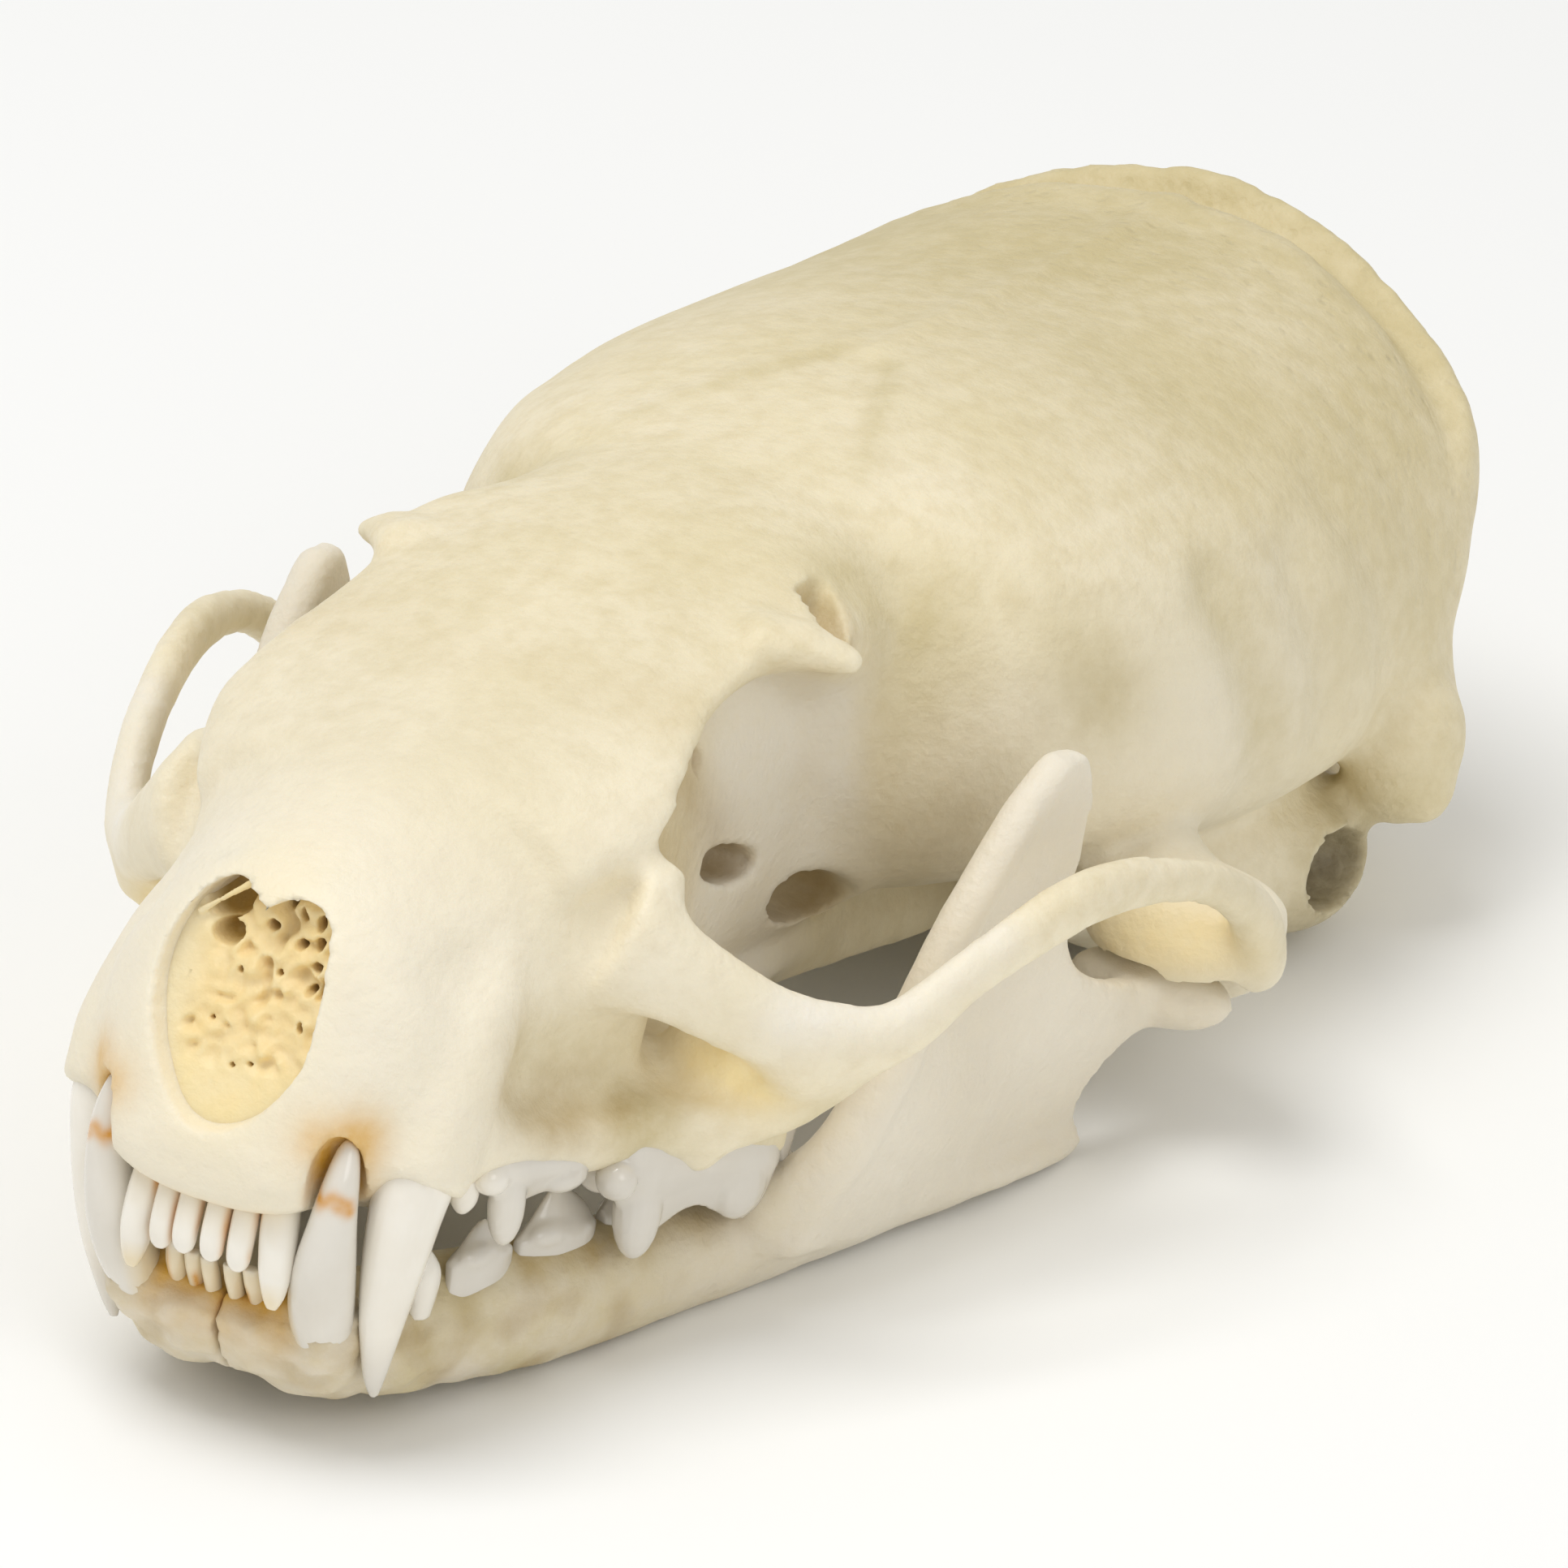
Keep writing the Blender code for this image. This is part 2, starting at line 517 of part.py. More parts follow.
def build_tooth(name, shape, parts, tools):
    """The left tooth, and the cutter for its socket: the same shape, a little larger all round."""
    bm = bmesh.new()
    if isinstance(shape, list):
        peg_tooth(bm, shape)
    else:
        gum, root, rows = shape
        blade_tooth(bm, gum, abs(root), rows)
    socket = bm.copy()
    socket.normal_update()
    offsets = [vert.normal * SOCKET_GAP * vert.calc_shell_factor() for vert in socket.verts]
    for vert, offset in zip(socket.verts, offsets):
        vert.co += offset
    return raw_object(name + "_left", bm, parts), cutter("socket_" + name, socket, tools)


def build_teeth(bone, shapes, parts, tools):
    """The left teeth of one jaw, with their sockets cut in its bone."""
    made = []
    for name, shape in shapes.items():
        tooth, socket = build_tooth(name, shape, parts, tools)
        carve(bone, socket)
        made.append(tooth)
    settle(bone)
    return made


def place(piece, origin):
    """Puts a piece made in the skull's frame in the world, in metres, with its own origin there."""
    to_world = (Matrix.Translation((0, -REST_SHIFT * MM, -REST_DROP * MM))
                @ Matrix.Rotation(math.radians(-PITCH), 4, "X") @ Matrix.Scale(MM, 4))
    piece.data.transform(to_world)
    spot = to_world @ Vector(origin)
    piece.data.transform(Matrix.Translation(-spot))
    piece.location = spot


def main():
    for old in list(bpy.data.objects):
        bpy.data.objects.remove(old, do_unlink=True)
    parts = bpy.data.collections.new("weasel_skull")
    tools = bpy.data.collections.new("cutters")
    for collection in (parts, tools):
        bpy.context.scene.collection.children.link(collection)
    tools.hide_render = True
    bone = material("bone", BONE, 0.5)
    jaw_bone = material("jaw_bone", BONE_PALE, 0.5)
    enamel = material("tooth_enamel", ENAMEL, 0.25)

    cranium = build_cranium(parts, tools)
    upper = build_teeth(cranium, {**UPPER_PEGS, **UPPER_BLADES}, parts, tools)
    complete_cranium(cranium)
    jaw = build_mandible(parts, tools)
    lower = build_teeth(jaw, {**LOWER_PEGS, **LOWER_BLADES}, parts, tools)
    upper += [right_side(tooth, parts) for tooth in upper]
    lower += [right_side(tooth, parts) for tooth in lower]
    jaws = [jaw, right_side(jaw, parts)]

    hinge = (0, HINGE_Y, HINGE_Z)
    for piece in (cranium, *upper):
        place(piece, (0, 0, 0))
    for piece in (*jaws, *lower):
        place(piece, hinge)
    cranium.data.materials.append(bone)
    for piece in jaws:
        piece.data.materials.append(jaw_bone)
    for piece in (*upper, *lower):
        piece.data.materials.append(enamel)


main()
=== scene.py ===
"""A cleaned long-tailed weasel's skull, dressed over its CAD frame.

The sizes are in the skull's own frame, in millimetres: X to the animal's left, Y from the nose to the
back of the head, Z up from the line of the upper teeth. TO_WORLD tips it nose up and stands it on the floor.
"""
import math

import bpy
import numpy as np
from mathutils import Matrix, Vector, noise


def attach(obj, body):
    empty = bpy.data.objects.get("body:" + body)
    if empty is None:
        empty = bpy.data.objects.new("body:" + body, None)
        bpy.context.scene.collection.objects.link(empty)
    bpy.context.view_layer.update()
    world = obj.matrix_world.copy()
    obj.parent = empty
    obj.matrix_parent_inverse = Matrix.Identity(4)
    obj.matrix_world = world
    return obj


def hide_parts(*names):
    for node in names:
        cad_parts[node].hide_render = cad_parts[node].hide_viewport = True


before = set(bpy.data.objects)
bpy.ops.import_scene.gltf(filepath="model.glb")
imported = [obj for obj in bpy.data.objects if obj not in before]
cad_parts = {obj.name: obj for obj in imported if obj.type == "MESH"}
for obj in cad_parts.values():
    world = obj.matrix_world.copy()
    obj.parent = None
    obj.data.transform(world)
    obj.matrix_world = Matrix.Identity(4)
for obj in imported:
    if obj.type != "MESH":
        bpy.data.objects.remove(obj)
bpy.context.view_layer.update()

MM = 0.001
PITCH, REST_DROP, REST_SHIFT = 6.64, -6.96, 24.15
TO_WORLD = (Matrix.Translation((0, -REST_SHIFT * MM, -REST_DROP * MM))
            @ Matrix.Rotation(math.radians(-PITCH), 4, "X") @ Matrix.Scale(MM, 4))
HINGE_Y, HINGE_Z = 26.95, -0.1
CONDYLE_RADIUS, CONDYLE_INNER, CONDYLE_OUTER = 0.92, 8.0, 12.1
CONDYLE_MIDDLE = (CONDYLE_INNER + CONDYLE_OUTER) / 2
SOCKET_GAP, SOCKET_EXTRA_WIDTH = 0.2, 0.7
# The grain of the first and the second melt, and the share of the cranium's triangles that is kept
CRANIUM_GRAIN, JAW_GRAIN, SPONGE_GRAIN, TOOTH_GRAIN = (0.28, 0.15), (0.2, 0.14), (0.08, 0.06), 0.07
CRANIUM_SHARE = 0.42

# Cross sections of the skull's body, from front to back: y, half width, height of the widest place,
# top, bottom, roundness above and below (2 is an ellipse, more is squarer)
ROSTRUM = [
    (0.45, 1.6, 0.4, 0.95, -0.4, 2.2, 2.4), (0.85, 2.7, 0.6, 1.8, -0.55, 2.2, 2.6),
    (1.9, 3.5, 1.4, 5.0, -0.6, 2.0, 3.0), (3.2, 4.4, 1.6, 6.55, -0.5, 2.1, 3.0),
    (5.5, 4.6, 2.2, 7.55, -0.3, 2.2, 3.0), (8.0, 5.3, 3.4, 8.5, -0.4, 2.3, 3.0),
    (10.0, 6.0, 4.6, 9.1, -0.7, 2.4, 3.0), (11.3, 5.0, 5.0, 9.4, -0.6, 2.4, 3.0),
]
FRONTAL_ROOF = [
    (7.5, 5.0, 6.2, 8.3, 5.0, 2.0, 2.0), (9.6, 5.95, 7.3, 9.05, 6.2, 2.0, 2.0),
    (11.2, 5.7, 8.4, 9.6, 7.4, 2.0, 2.0), (13.0, 5.25, 9.1, 10.15, 8.2, 2.1, 2.0),
    (15.0, 5.2, 9.6, 10.7, 8.6, 2.1, 2.0), (16.4, 5.6, 9.7, 11.0, 8.6, 2.1, 2.0),
    (17.6, 6.0, 9.6, 11.25, 8.2, 2.2, 2.0), (18.8, 5.7, 9.4, 11.5, 7.0, 2.2, 2.0),
    (21.0, 5.3, 8.6, 11.8, 6.0, 2.4, 2.0), (24.0, 6.0, 8.0, 12.0, 6.0, 2.4, 2.0),
]
ORBIT_WALL = [
    (9.0, 5.0, 4.0, 8.4, 0.0, 3.0, 3.0), (11.0, 4.9, 5.0, 9.0, -0.2, 3.0, 3.0),
    (12.8, 4.5, 5.5, 9.4, 0.0, 3.0, 3.0), (15.0, 4.2, 5.5, 9.9, 0.2, 3.0, 3.0),
    (18.0, 4.1, 5.2, 10.5, 0.3, 3.0, 3.0), (20.5, 4.4, 5.2, 10.9, 0.4, 2.6, 3.0),
    (23.0, 5.6, 5.2, 11.2, 0.6, 2.4, 2.4),
]
BRAINCASE = [
    (19.0, 3.9, 7.0, 10.9, 2.6, 2.2, 2.0), (21.0, 5.5, 6.8, 11.7, 1.8, 2.4, 2.0),
    (23.5, 8.0, 6.3, 12.15, 1.1, 2.5, 2.1), (27.0, 9.5, 5.6, 12.55, 0.7, 2.5, 2.2),
    (31.0, 10.3, 5.2, 12.8, 0.5, 2.45, 2.3), (35.0, 10.5, 5.0, 12.8, 0.5, 2.4, 2.4),
    (39.0, 10.2, 5.0, 12.85, 0.7, 2.4, 2.4), (42.0, 9.6, 5.4, 12.95, 1.0, 2.4, 2.3),
    (44.2, 8.2, 5.6, 12.9, 1.4, 2.4, 2.2), (45.7, 5.6, 5.6, 12.3, 1.8, 2.2, 2.0),
]
PALATE = [
    (3.0, 3.9, 0.2, 1.2, -0.7, 3.0, 3.5), (6.0, 4.9, 0.0, 1.6, -0.8, 3.0, 3.5),
    (9.5, 6.2, -0.1, 2.0, -1.0, 3.0, 3.5), (12.5, 7.0, -0.2, 1.8, -1.2, 3.0, 3.5),
    (15.0, 7.2, -0.3, 1.2, -1.2, 3.0, 3.0), (16.6, 5.2, -0.2, 1.2, -0.9, 2.4, 2.4),
    (18.0, 3.8, 0.0, 1.2, -0.6, 2.4, 2.4), (22.0, 3.1, 0.1, 1.4, -0.5, 2.4, 2.4),
    (25.0, 2.9, 0.3, 1.6, -0.4, 2.4, 2.4),
]

# Runs on the left side, front to back: x, y, z, then half height and half thickness
CRANIUM_RUNS = {
    "postorbital_process": [
        (4.4, 15.6, 10.2, 0.55, 1.0), (5.4, 16.4, 9.95, 0.5, 0.85), (6.2, 16.95, 9.7, 0.4, 0.6),
        (6.65, 17.15, 9.5, 0.33, 0.42)],
    "zygomatic_arch": [
        (5.5, 8.5, 4.9, 1.8, 0.9), (7.0, 9.7, 4.0, 1.25, 0.75), (8.7, 11.4, 2.85, 0.95, 0.6),
        (10.24, 13.4, 2.6, 0.8, 0.55), (11.2, 15.5, 3.9, 0.72, 0.5), (12.2, 18.9, 5.0, 0.72, 0.5),
        (13.0, 22.4, 4.6, 0.62, 0.5), (13.15, 24.9, 3.45, 0.62, 0.55), (13.0, 26.3, 2.2, 0.7, 0.65),
        (12.65, 27.1, 1.2, 0.8, 0.75), (11.5, 28.1, 1.1, 0.9, 1.0), (9.0, 28.6, 2.1, 1.3, 1.5)],
    "cheek_root": [
        (5.9, 9.9, 0.35, 0.85, 0.8), (7.2, 11.6, 0.15, 0.7, 0.7), (8.5, 12.8, 0.95, 0.75, 0.6),
        (9.7, 13.2, 2.2, 0.75, 0.5)],
    "tooth_ridge": [
        (4.65, 4.8, 0.95, 0.8, 0.5), (4.9, 6.5, 0.5, 0.8, 0.62), (5.3, 8.3, 0.25, 0.8, 0.68),
        (5.85, 10.0, 0.1, 0.85, 0.75), (6.4, 12.0, -0.15, 0.9, 0.72), (6.85, 14.0, -0.9, 0.8, 0.6),
        (6.95, 14.7, -1.1, 0.6, 0.5)],
    "canine_root_swelling": [
        (3.85, 3.3, 0.2, 1.35, 1.35), (3.9, 4.3, 2.0, 1.4, 1.3), (3.7, 6.2, 4.2, 1.2, 1.1),
        (3.4, 8.2, 5.8, 0.9, 0.8)],
    "nuchal_crest": [
        (-1.2, 46.1, 12.35, 1.15, 0.55), (0.0, 46.2, 12.4, 1.15, 0.55), (3.1, 45.9, 11.85, 1.15, 0.55),
        (6.2, 45.1, 10.4, 1.2, 0.55), (8.35, 43.9, 8.85, 1.25, 0.6), (9.1, 42.5, 7.2, 1.15, 0.65),
        (9.25, 41.4, 4.8, 1.1, 0.8), (9.9, 40.8, 2.4, 1.0, 1.0)],
    "pterygoid": [
        (2.3, 22.0, 0.2, 1.0, 0.5), (2.4, 26.0, -0.2, 1.1, 0.45), (2.7, 29.5, -0.5, 0.9, 0.4),
        (3.1, 31.5, -0.4, 0.6, 0.4)],
}
# Rounded lumps on the left side: centre, then half sizes
CRANIUM_LUMPS = {
    "orbit_spur": ((6.2, 9.7, 6.0), (0.45, 0.6, 0.8)),
    "canal_floor": ((6.9, 11.9, 1.85), (1.5, 0.95, 1.15)),
    "cheek_web": ((8.7, 12.3, 1.9), (0.9, 1.1, 0.9)),
    "mastoid": ((9.8, 40.0, 2.6), (1.45, 1.7, 2.1)),
    "mastoid_tip": ((10.5, 40.0, 1.6), (0.75, 1.0, 1.0)),
    "ear_capsule": ((5.7, 37.0, -0.1), (3.4, 6.6, 2.5)),
    "ear_capsule_front": ((4.9, 32.0, 0.3), (2.2, 3.2, 1.7)),
    "ear_canal": ((8.2, 37.9, -0.4), (1.6, 2.6, 1.7)),
    "occipital_condyle": ((2.7, 45.2, 2.5), (1.75, 2.2, 1.5)),
    "jaw_socket_roof": ((10.3, 27.7, 1.9), (2.7, 1.8, 1.05)),
    "jaw_socket_front": ((10.6, 26.65, 1.55), (2.45, 1.15, 1.35)),
    "postglenoid": ((10.0, 28.8, 0.4), (2.2, 0.75, 1.3)),
}
JAW_NECK_NOTCH = ((9.15, 24.6, -1.5), (10.8, 26.9, 0.85))
# Hollows on the left side: centre, half sizes and, for some, the tilt in degrees
CRANIUM_HOLLOWS = {
    "canine_notch": ((2.98, 1.5, 0.1), (0.6, 1.0, 1.5)),
    "orbital_fissure": ((3.7, 16.5, 4.25), (1.5, 1.55, 0.5), -15),
    "optic_foramen": ((3.7, 20.9, 2.2), (1.7, 1.85, 0.72), -15),
    "ethmoid_foramen": ((4.3, 14.55, 7.31), (0.9, 0.3, 0.28)),
    "lacrimal_foramen": ((5.4, 10.6, 5.3), (0.5, 0.35, 0.4)),
    "ear_opening": ((9.4, 37.9, -0.3), (1.5, 1.5, 1.0)),
    "carotid_canal": ((3.6, 36.0, -1.9), (0.35, 0.5, 0.8)),
    "jugular_foramen": ((3.3, 42.6, 0.6), (0.6, 0.5, 1.0)),
    "oval_foramen": ((4.6, 28.2, 0.6), (0.45, 0.7, 0.9)),
    "incisive_slot": ((1.0, 3.6, -0.9), (0.35, 0.95, 0.7)),
    "palate_foramen": ((3.2, 11.2, -1.2), (0.22, 0.35, 0.5)),
}
MIDDLE_HOLLOWS = {
    "foramen_magnum": ((0.0, 47.0, 4.1), (2.5, 3.8, 2.2)),
    "back_of_nose": ((0.0, 23.6, -0.5), (1.5, 3.6, 0.9)),
}
# Sharp-edged holes: the edge, the direction out of the hole, how far the cut goes out and in, and the sides
SHARP_HOLES = {
    "postorbital_break": ([
        (4.3, 17.7, 10.6), (4.3, 18.75, 10.6), (4.5, 18.95, 10.55), (5.2, 18.5, 10.45), (5.75, 18.1, 10.2),
        (6.2, 17.35, 10.0), (5.85, 16.95, 10.1), (5.4, 17.15, 10.2)], (0.25, 0.25, 0.93), 0.9, -0.75, (1,)),
    "infraorbital_canal": ([
        (6.9, 9.95, 2.75), (7.6, 10.55, 2.3), (8.45, 11.3, 1.6), (7.8, 11.15, 1.1), (7.1, 10.35, 1.15),
        (6.92, 10.05, 1.9)], (0.45, -0.88, 0.1), 1.4, -0.4, (1, -1)),
}
# The nose opening's edge, as seen from the front: x, z
NOSE_OPENING = [
    (-0.05, 5.95), (0.35, 6.2), (0.8, 6.35), (1.3, 6.2), (1.7, 5.75), (1.9, 5.0), (2.0, 4.2), (2.05, 3.4),
    (1.9, 2.7), (1.5, 2.0), (0.95, 1.4), (0.3, 1.1), (-0.4, 1.1), (-1.1, 1.5), (-1.75, 2.25), (-2.2, 3.1),
    (-2.45, 4.0), (-2.4, 4.9), (-2.1, 5.7), (-1.65, 6.25), (-1.1, 6.42), (-0.55, 6.25),
]
NOSE_LEAN, NOSE_MIDDLE, NOSE_DEPTH = 0.18, 3.9, 4.8
# The spongy bone inside the nose: its face and how that leans, and its holes (x, z, half width, half height)
NOSE_FILL, NOSE_FILL_LEAN = 2.45, 0.48
NOSE_HOLES = [
    (-1.35, 5.75, 0.62, 0.6), (-1.15, 4.95, 0.4, 0.32), (0.13, 5.85, 0.15, 0.2), (0.55, 5.7, 0.15, 0.18),
    (-0.13, 5.32, 0.17, 0.15), (1.07, 5.63, 0.14, 0.2), (0.7, 5.1, 0.14, 0.13), (1.15, 5.2, 0.15, 0.17),
    (1.25, 4.73, 0.18, 0.13), (1.24, 4.24, 0.13, 0.12), (1.53, 4.35, 0.1, 0.32), (-0.06, 2.4, 0.09, 0.07),
    (0.35, 2.5, 0.1, 0.08), (0.75, 2.62, 0.1, 0.07), (-0.9, 3.2, 0.08, 0.08), (1.3, 3.5, 0.1, 0.16),
    (0.4, 4.45, 0.1, 0.09), (-0.55, 4.3, 0.09, 0.1),
]
NOSE_STRUT = [(-1.95, 3.0, 5.2, 0.1, 0.1), (-1.4, 3.0, 5.65, 0.06, 0.06), (-0.7, 3.2, 6.2, 0.1, 0.1)]

# The lower jaw's left half, front to back: x, y, z, then half height and half thickness
JAW_RUNS = {
    "body": [
        (0.6, 2.35, -3.3, 0.95, 0.95), (1.1, 3.2, -4.0, 1.3, 1.35), (1.9, 4.5, -4.35, 1.4, 1.65),
        (3.05, 6.5, -4.22, 1.58, 1.35), (4.1, 8.9, -4.22, 1.58, 1.15), (5.0, 12.0, -4.1, 1.5, 1.1),
        (5.9, 15.0, -3.95, 1.4, 1.1), (7.2, 18.0, -3.4, 1.35, 1.0), (8.3, 21.0, -3.0, 1.4, 0.7)],
    "canine_socket": [
        (2.0, 3.8, -4.6, 1.0, 0.9), (2.3, 2.9, -3.7, 1.0, 0.95), (2.45, 2.4, -2.95, 0.85, 0.9)],
    "lower_edge": [
        (6.4, 15.5, -4.2, 0.55, 0.75), (7.9, 19.5, -3.8, 0.5, 0.65), (8.9, 23.0, -3.75, 0.45, 0.55),
        (9.2, 25.3, -3.65, 0.38, 0.42)],
    "coronoid_front_edge": [
        (6.5, 14.6, -3.2, 0.9, 0.85), (7.9, 15.4, -1.9, 0.75, 0.7), (8.8, 16.2, 0.4, 0.65, 0.65),
        (9.4, 17.6, 3.4, 0.55, 0.62), (9.8, 19.6, 6.0, 0.5, 0.55), (10.0, 21.0, 7.1, 0.45, 0.48)],
}
JAW_LUMPS = {
    "condyle": ((CONDYLE_MIDDLE, HINGE_Y, HINGE_Z), (2.2, CONDYLE_RADIUS, CONDYLE_RADIUS)),
    "chin": ((0.0, 3.3, -4.15), (2.5, 1.35, 1.15)),
    "chin_edge": ((0.0, 2.75, -3.75), (2.0, 1.0, 0.75)),
}
# The flat of the jaw's branch in side view (y, z); it leans outwards as it goes back and up
BRANCH_OUTLINE = [
    (14.6, -4.1), (15.2, -2.4), (16.0, 0.2), (17.4, 3.4), (19.6, 6.2), (20.9, 7.3), (21.8, 7.1),
    (22.3, 5.6), (22.2, 3.4), (22.9, 1.7), (24.6, 0.7), (26.0, 0.4), (26.9, 0.5), (26.9, -0.7),
    (25.7, -1.4), (25.0, -2.4), (25.3, -3.8), (22.0, -3.95), (18.0, -4.2),
]
BRANCH_THICKNESS, BRANCH_LEAN_BACK, BRANCH_LEAN_UP, BRANCH_LEAN_LOW = 0.8, 0.13, 0.09, 0.35
BRANCH_ORIGIN, BRANCH_MIDDLE = (8.55, 15.6, -0.8), (20.5, -0.8)
CHIN_GAP = 0.04

# Peg teeth on the left side, from the root to the tip: x, y, z, then half length and half width
UPPER_PEGS = {
    "upper_incisor_1": [
        (0.36, 1.35, 0.5, 0.24, 0.2), (0.36, 1.15, -0.5, 0.34, 0.3), (0.36, 0.9, -1.3, 0.28, 0.31),
        (0.36, 0.85, -1.72, 0.2, 0.27), (0.36, 0.83, -1.9, 0.08, 0.12)],
    "upper_incisor_2": [
        (0.99, 1.5, 0.5, 0.24, 0.2), (0.99, 1.25, -0.5, 0.36, 0.3), (1.01, 1.0, -1.35, 0.3, 0.31),
        (1.01, 0.95, -1.8, 0.22, 0.27), (1.01, 0.92, -2.0, 0.08, 0.12)],
    "upper_incisor_3": [
        (1.64, 1.8, 0.6, 0.3, 0.25), (1.7, 1.5, -0.5, 0.48, 0.42), (1.8, 1.28, -1.6, 0.42, 0.42),
        (1.84, 1.2, -2.35, 0.26, 0.3), (1.85, 1.17, -2.75, 0.1, 0.13)],
    "upper_canine": [
        (3.9, 4.6, 2.9, 0.6, 0.6), (4.0, 3.5, 0.8, 1.02, 0.88), (3.88, 3.08, -0.9, 0.92, 0.78),
        (3.7, 2.95, -2.8, 0.62, 0.55), (3.5, 3.15, -4.4, 0.3, 0.28), (3.44, 3.3, -5.05, 0.1, 0.1)],
    "upper_premolar_2": [
        (4.35, 4.95, 0.9, 0.3, 0.25), (4.35, 4.95, -0.4, 0.36, 0.34), (4.35, 4.9, -0.85, 0.12, 0.12)],
}
LOWER_PEGS = {
    "lower_incisor_1": [
        (0.32, 2.5, -3.7, 0.2, 0.15), (0.3, 2.1, -2.8, 0.25, 0.2), (0.3, 1.9, -2.3, 0.16, 0.22)],
    "lower_incisor_2": [
        (0.8, 2.6, -3.7, 0.2, 0.15), (0.78, 2.2, -2.8, 0.27, 0.22), (0.76, 1.95, -2.25, 0.16, 0.22)],
    "lower_incisor_3": [
        (1.28, 2.6, -3.7, 0.2, 0.17), (1.28, 2.2, -2.8, 0.28, 0.24), (1.25, 2.0, -2.15, 0.16, 0.22)],
    "lower_canine": [
        (2.3, 3.1, -4.6, 0.55, 0.5), (2.5, 2.3, -3.2, 0.76, 0.72), (2.7, 1.85, -1.9, 0.78, 0.72),
        (2.93, 1.65, -0.5, 0.58, 0.54), (3.02, 1.72, 0.5, 0.44, 0.4), (3.03, 1.88, 1.15, 0.28, 0.26),
        (3.03, 1.92, 1.42, 0.1, 0.1)],
    "lower_premolar_2": [
        (3.5, 4.9, -3.6, 0.3, 0.25), (3.55, 4.9, -2.55, 0.48, 0.36), (3.55, 4.85, -1.9, 0.12, 0.12)],
    "lower_molar_2": [
        (6.2, 16.5, -3.6, 0.3, 0.3), (6.15, 16.5, -2.6, 0.5, 0.42), (6.15, 16.5, -2.25, 0.3, 0.24)],
}
# Blade teeth on the left side: the gum's z at the front and its slope, the root's length, rows of x, y,
# half width at the gum and the crest's z from one end to the other, and beads that stand out from the blade
UPPER_BLADES = {
    "upper_premolar_3": (0.25, -0.14, 0.45, [
        (4.7, 4.95, 0.2, -0.05), (4.75, 5.3, 0.4, -0.35), (4.9, 6.0, 0.5, -0.9), (5.0, 6.6, 0.5, -0.8),
        (5.15, 7.2, 0.5, -0.75), (5.3, 7.9, 0.45, -0.85), (5.45, 8.5, 0.25, -0.7)], [
        ((4.95, 5.85, -0.7), (0.42, 0.5, 1.05)), ((5.3, 7.7, -0.45), (0.5, 0.8, 0.4)),
        ((4.85, 5.25, 0.05), (0.42, 0.5, 0.42))]),
    "upper_premolar_4": (-0.35, -0.2, 1.0, [
        (5.72, 9.0, 0.35, -1.0), (5.88, 9.4, 0.6, -1.6), (6.02, 9.85, 0.66, -2.6), (6.06, 10.1, 0.66, -2.7),
        (6.18, 10.7, 0.62, -2.4), (6.35, 11.5, 0.56, -2.15), (6.5, 12.1, 0.54, -2.15),
        (6.66, 12.8, 0.55, -2.5), (6.82, 13.5, 0.5, -2.8), (6.95, 14.1, 0.42, -2.6),
        (7.0, 14.5, 0.25, -2.1)], [
        ((5.98, 9.0, -0.8), (0.5, 0.48, 0.5)), ((5.2, 9.6, -0.9), (0.6, 0.5, 0.6)),
        ((6.02, 10.05, -1.75), (0.55, 0.68, 1.28)), ((6.8, 13.4, -1.85), (0.52, 1.0, 0.95))]),
    "upper_molar_1": (-0.85, 0.0, 0.8, [
        (4.2, 15.3, 0.5, -1.3), (4.8, 15.3, 0.6, -1.6), (5.6, 15.25, 0.45, -1.5), (6.5, 15.1, 0.6, -2.1),
        (7.1, 15.0, 0.4, -1.9)], [((7.3, 15.4, -2.3), (0.42, 0.45, 0.45))]),
}
LOWER_BLADES = {
    "lower_premolar_3": (-2.6, 0.0, 0.9, [
        (3.7, 5.75, 0.12, -2.5), (3.78, 6.1, 0.32, -2.2), (3.9, 6.7, 0.42, -1.7), (4.0, 7.3, 0.36, -2.05),
        (4.1, 7.75, 0.12, -2.5)], [((3.92, 6.75, -2.45), (0.42, 0.9, 0.42))]),
    "lower_premolar_4": (-2.6, 0.0, 0.9, [
        (4.15, 7.95, 0.12, -2.5), (4.25, 8.4, 0.34, -2.1), (4.4, 9.1, 0.46, -1.45), (4.6, 10.0, 0.4, -1.95),
        (4.7, 10.45, 0.12, -2.5)], [((4.42, 9.2, -2.45), (0.46, 1.1, 0.45))]),
    "lower_molar_1": (-2.6, 0.0, 1.0, [
        (4.75, 10.7, 0.15, -2.4), (4.8, 11.1, 0.36, -1.95), (4.9, 11.9, 0.5, -1.25), (5.05, 12.6, 0.5, -1.75),
        (5.2, 13.4, 0.52, -1.1), (5.4, 14.3, 0.5, -2.2), (5.7, 15.5, 0.3, -2.4), (5.75, 15.7, 0.12, -2.55)], [
        ((5.1, 12.6, -2.4), (0.52, 1.6, 0.5))]),
}

# The foot of the crest at the back of the head, where the skull sweeps up into it, and the orbit's back wall
CREST_FOOT = [
    (0, 44.0, 12.9), (3.1, 43.7, 12.3), (5.9, 42.9, 10.9), (7.9, 42.0, 9.3), (8.8, 41.0, 7.4),
    (9.2, 40.2, 5.0)]
ORBIT_BACK = [(4.4, 19.2, 8.6), (4.6, 20.8, 6.5), (4.6, 22.0, 4.3)]
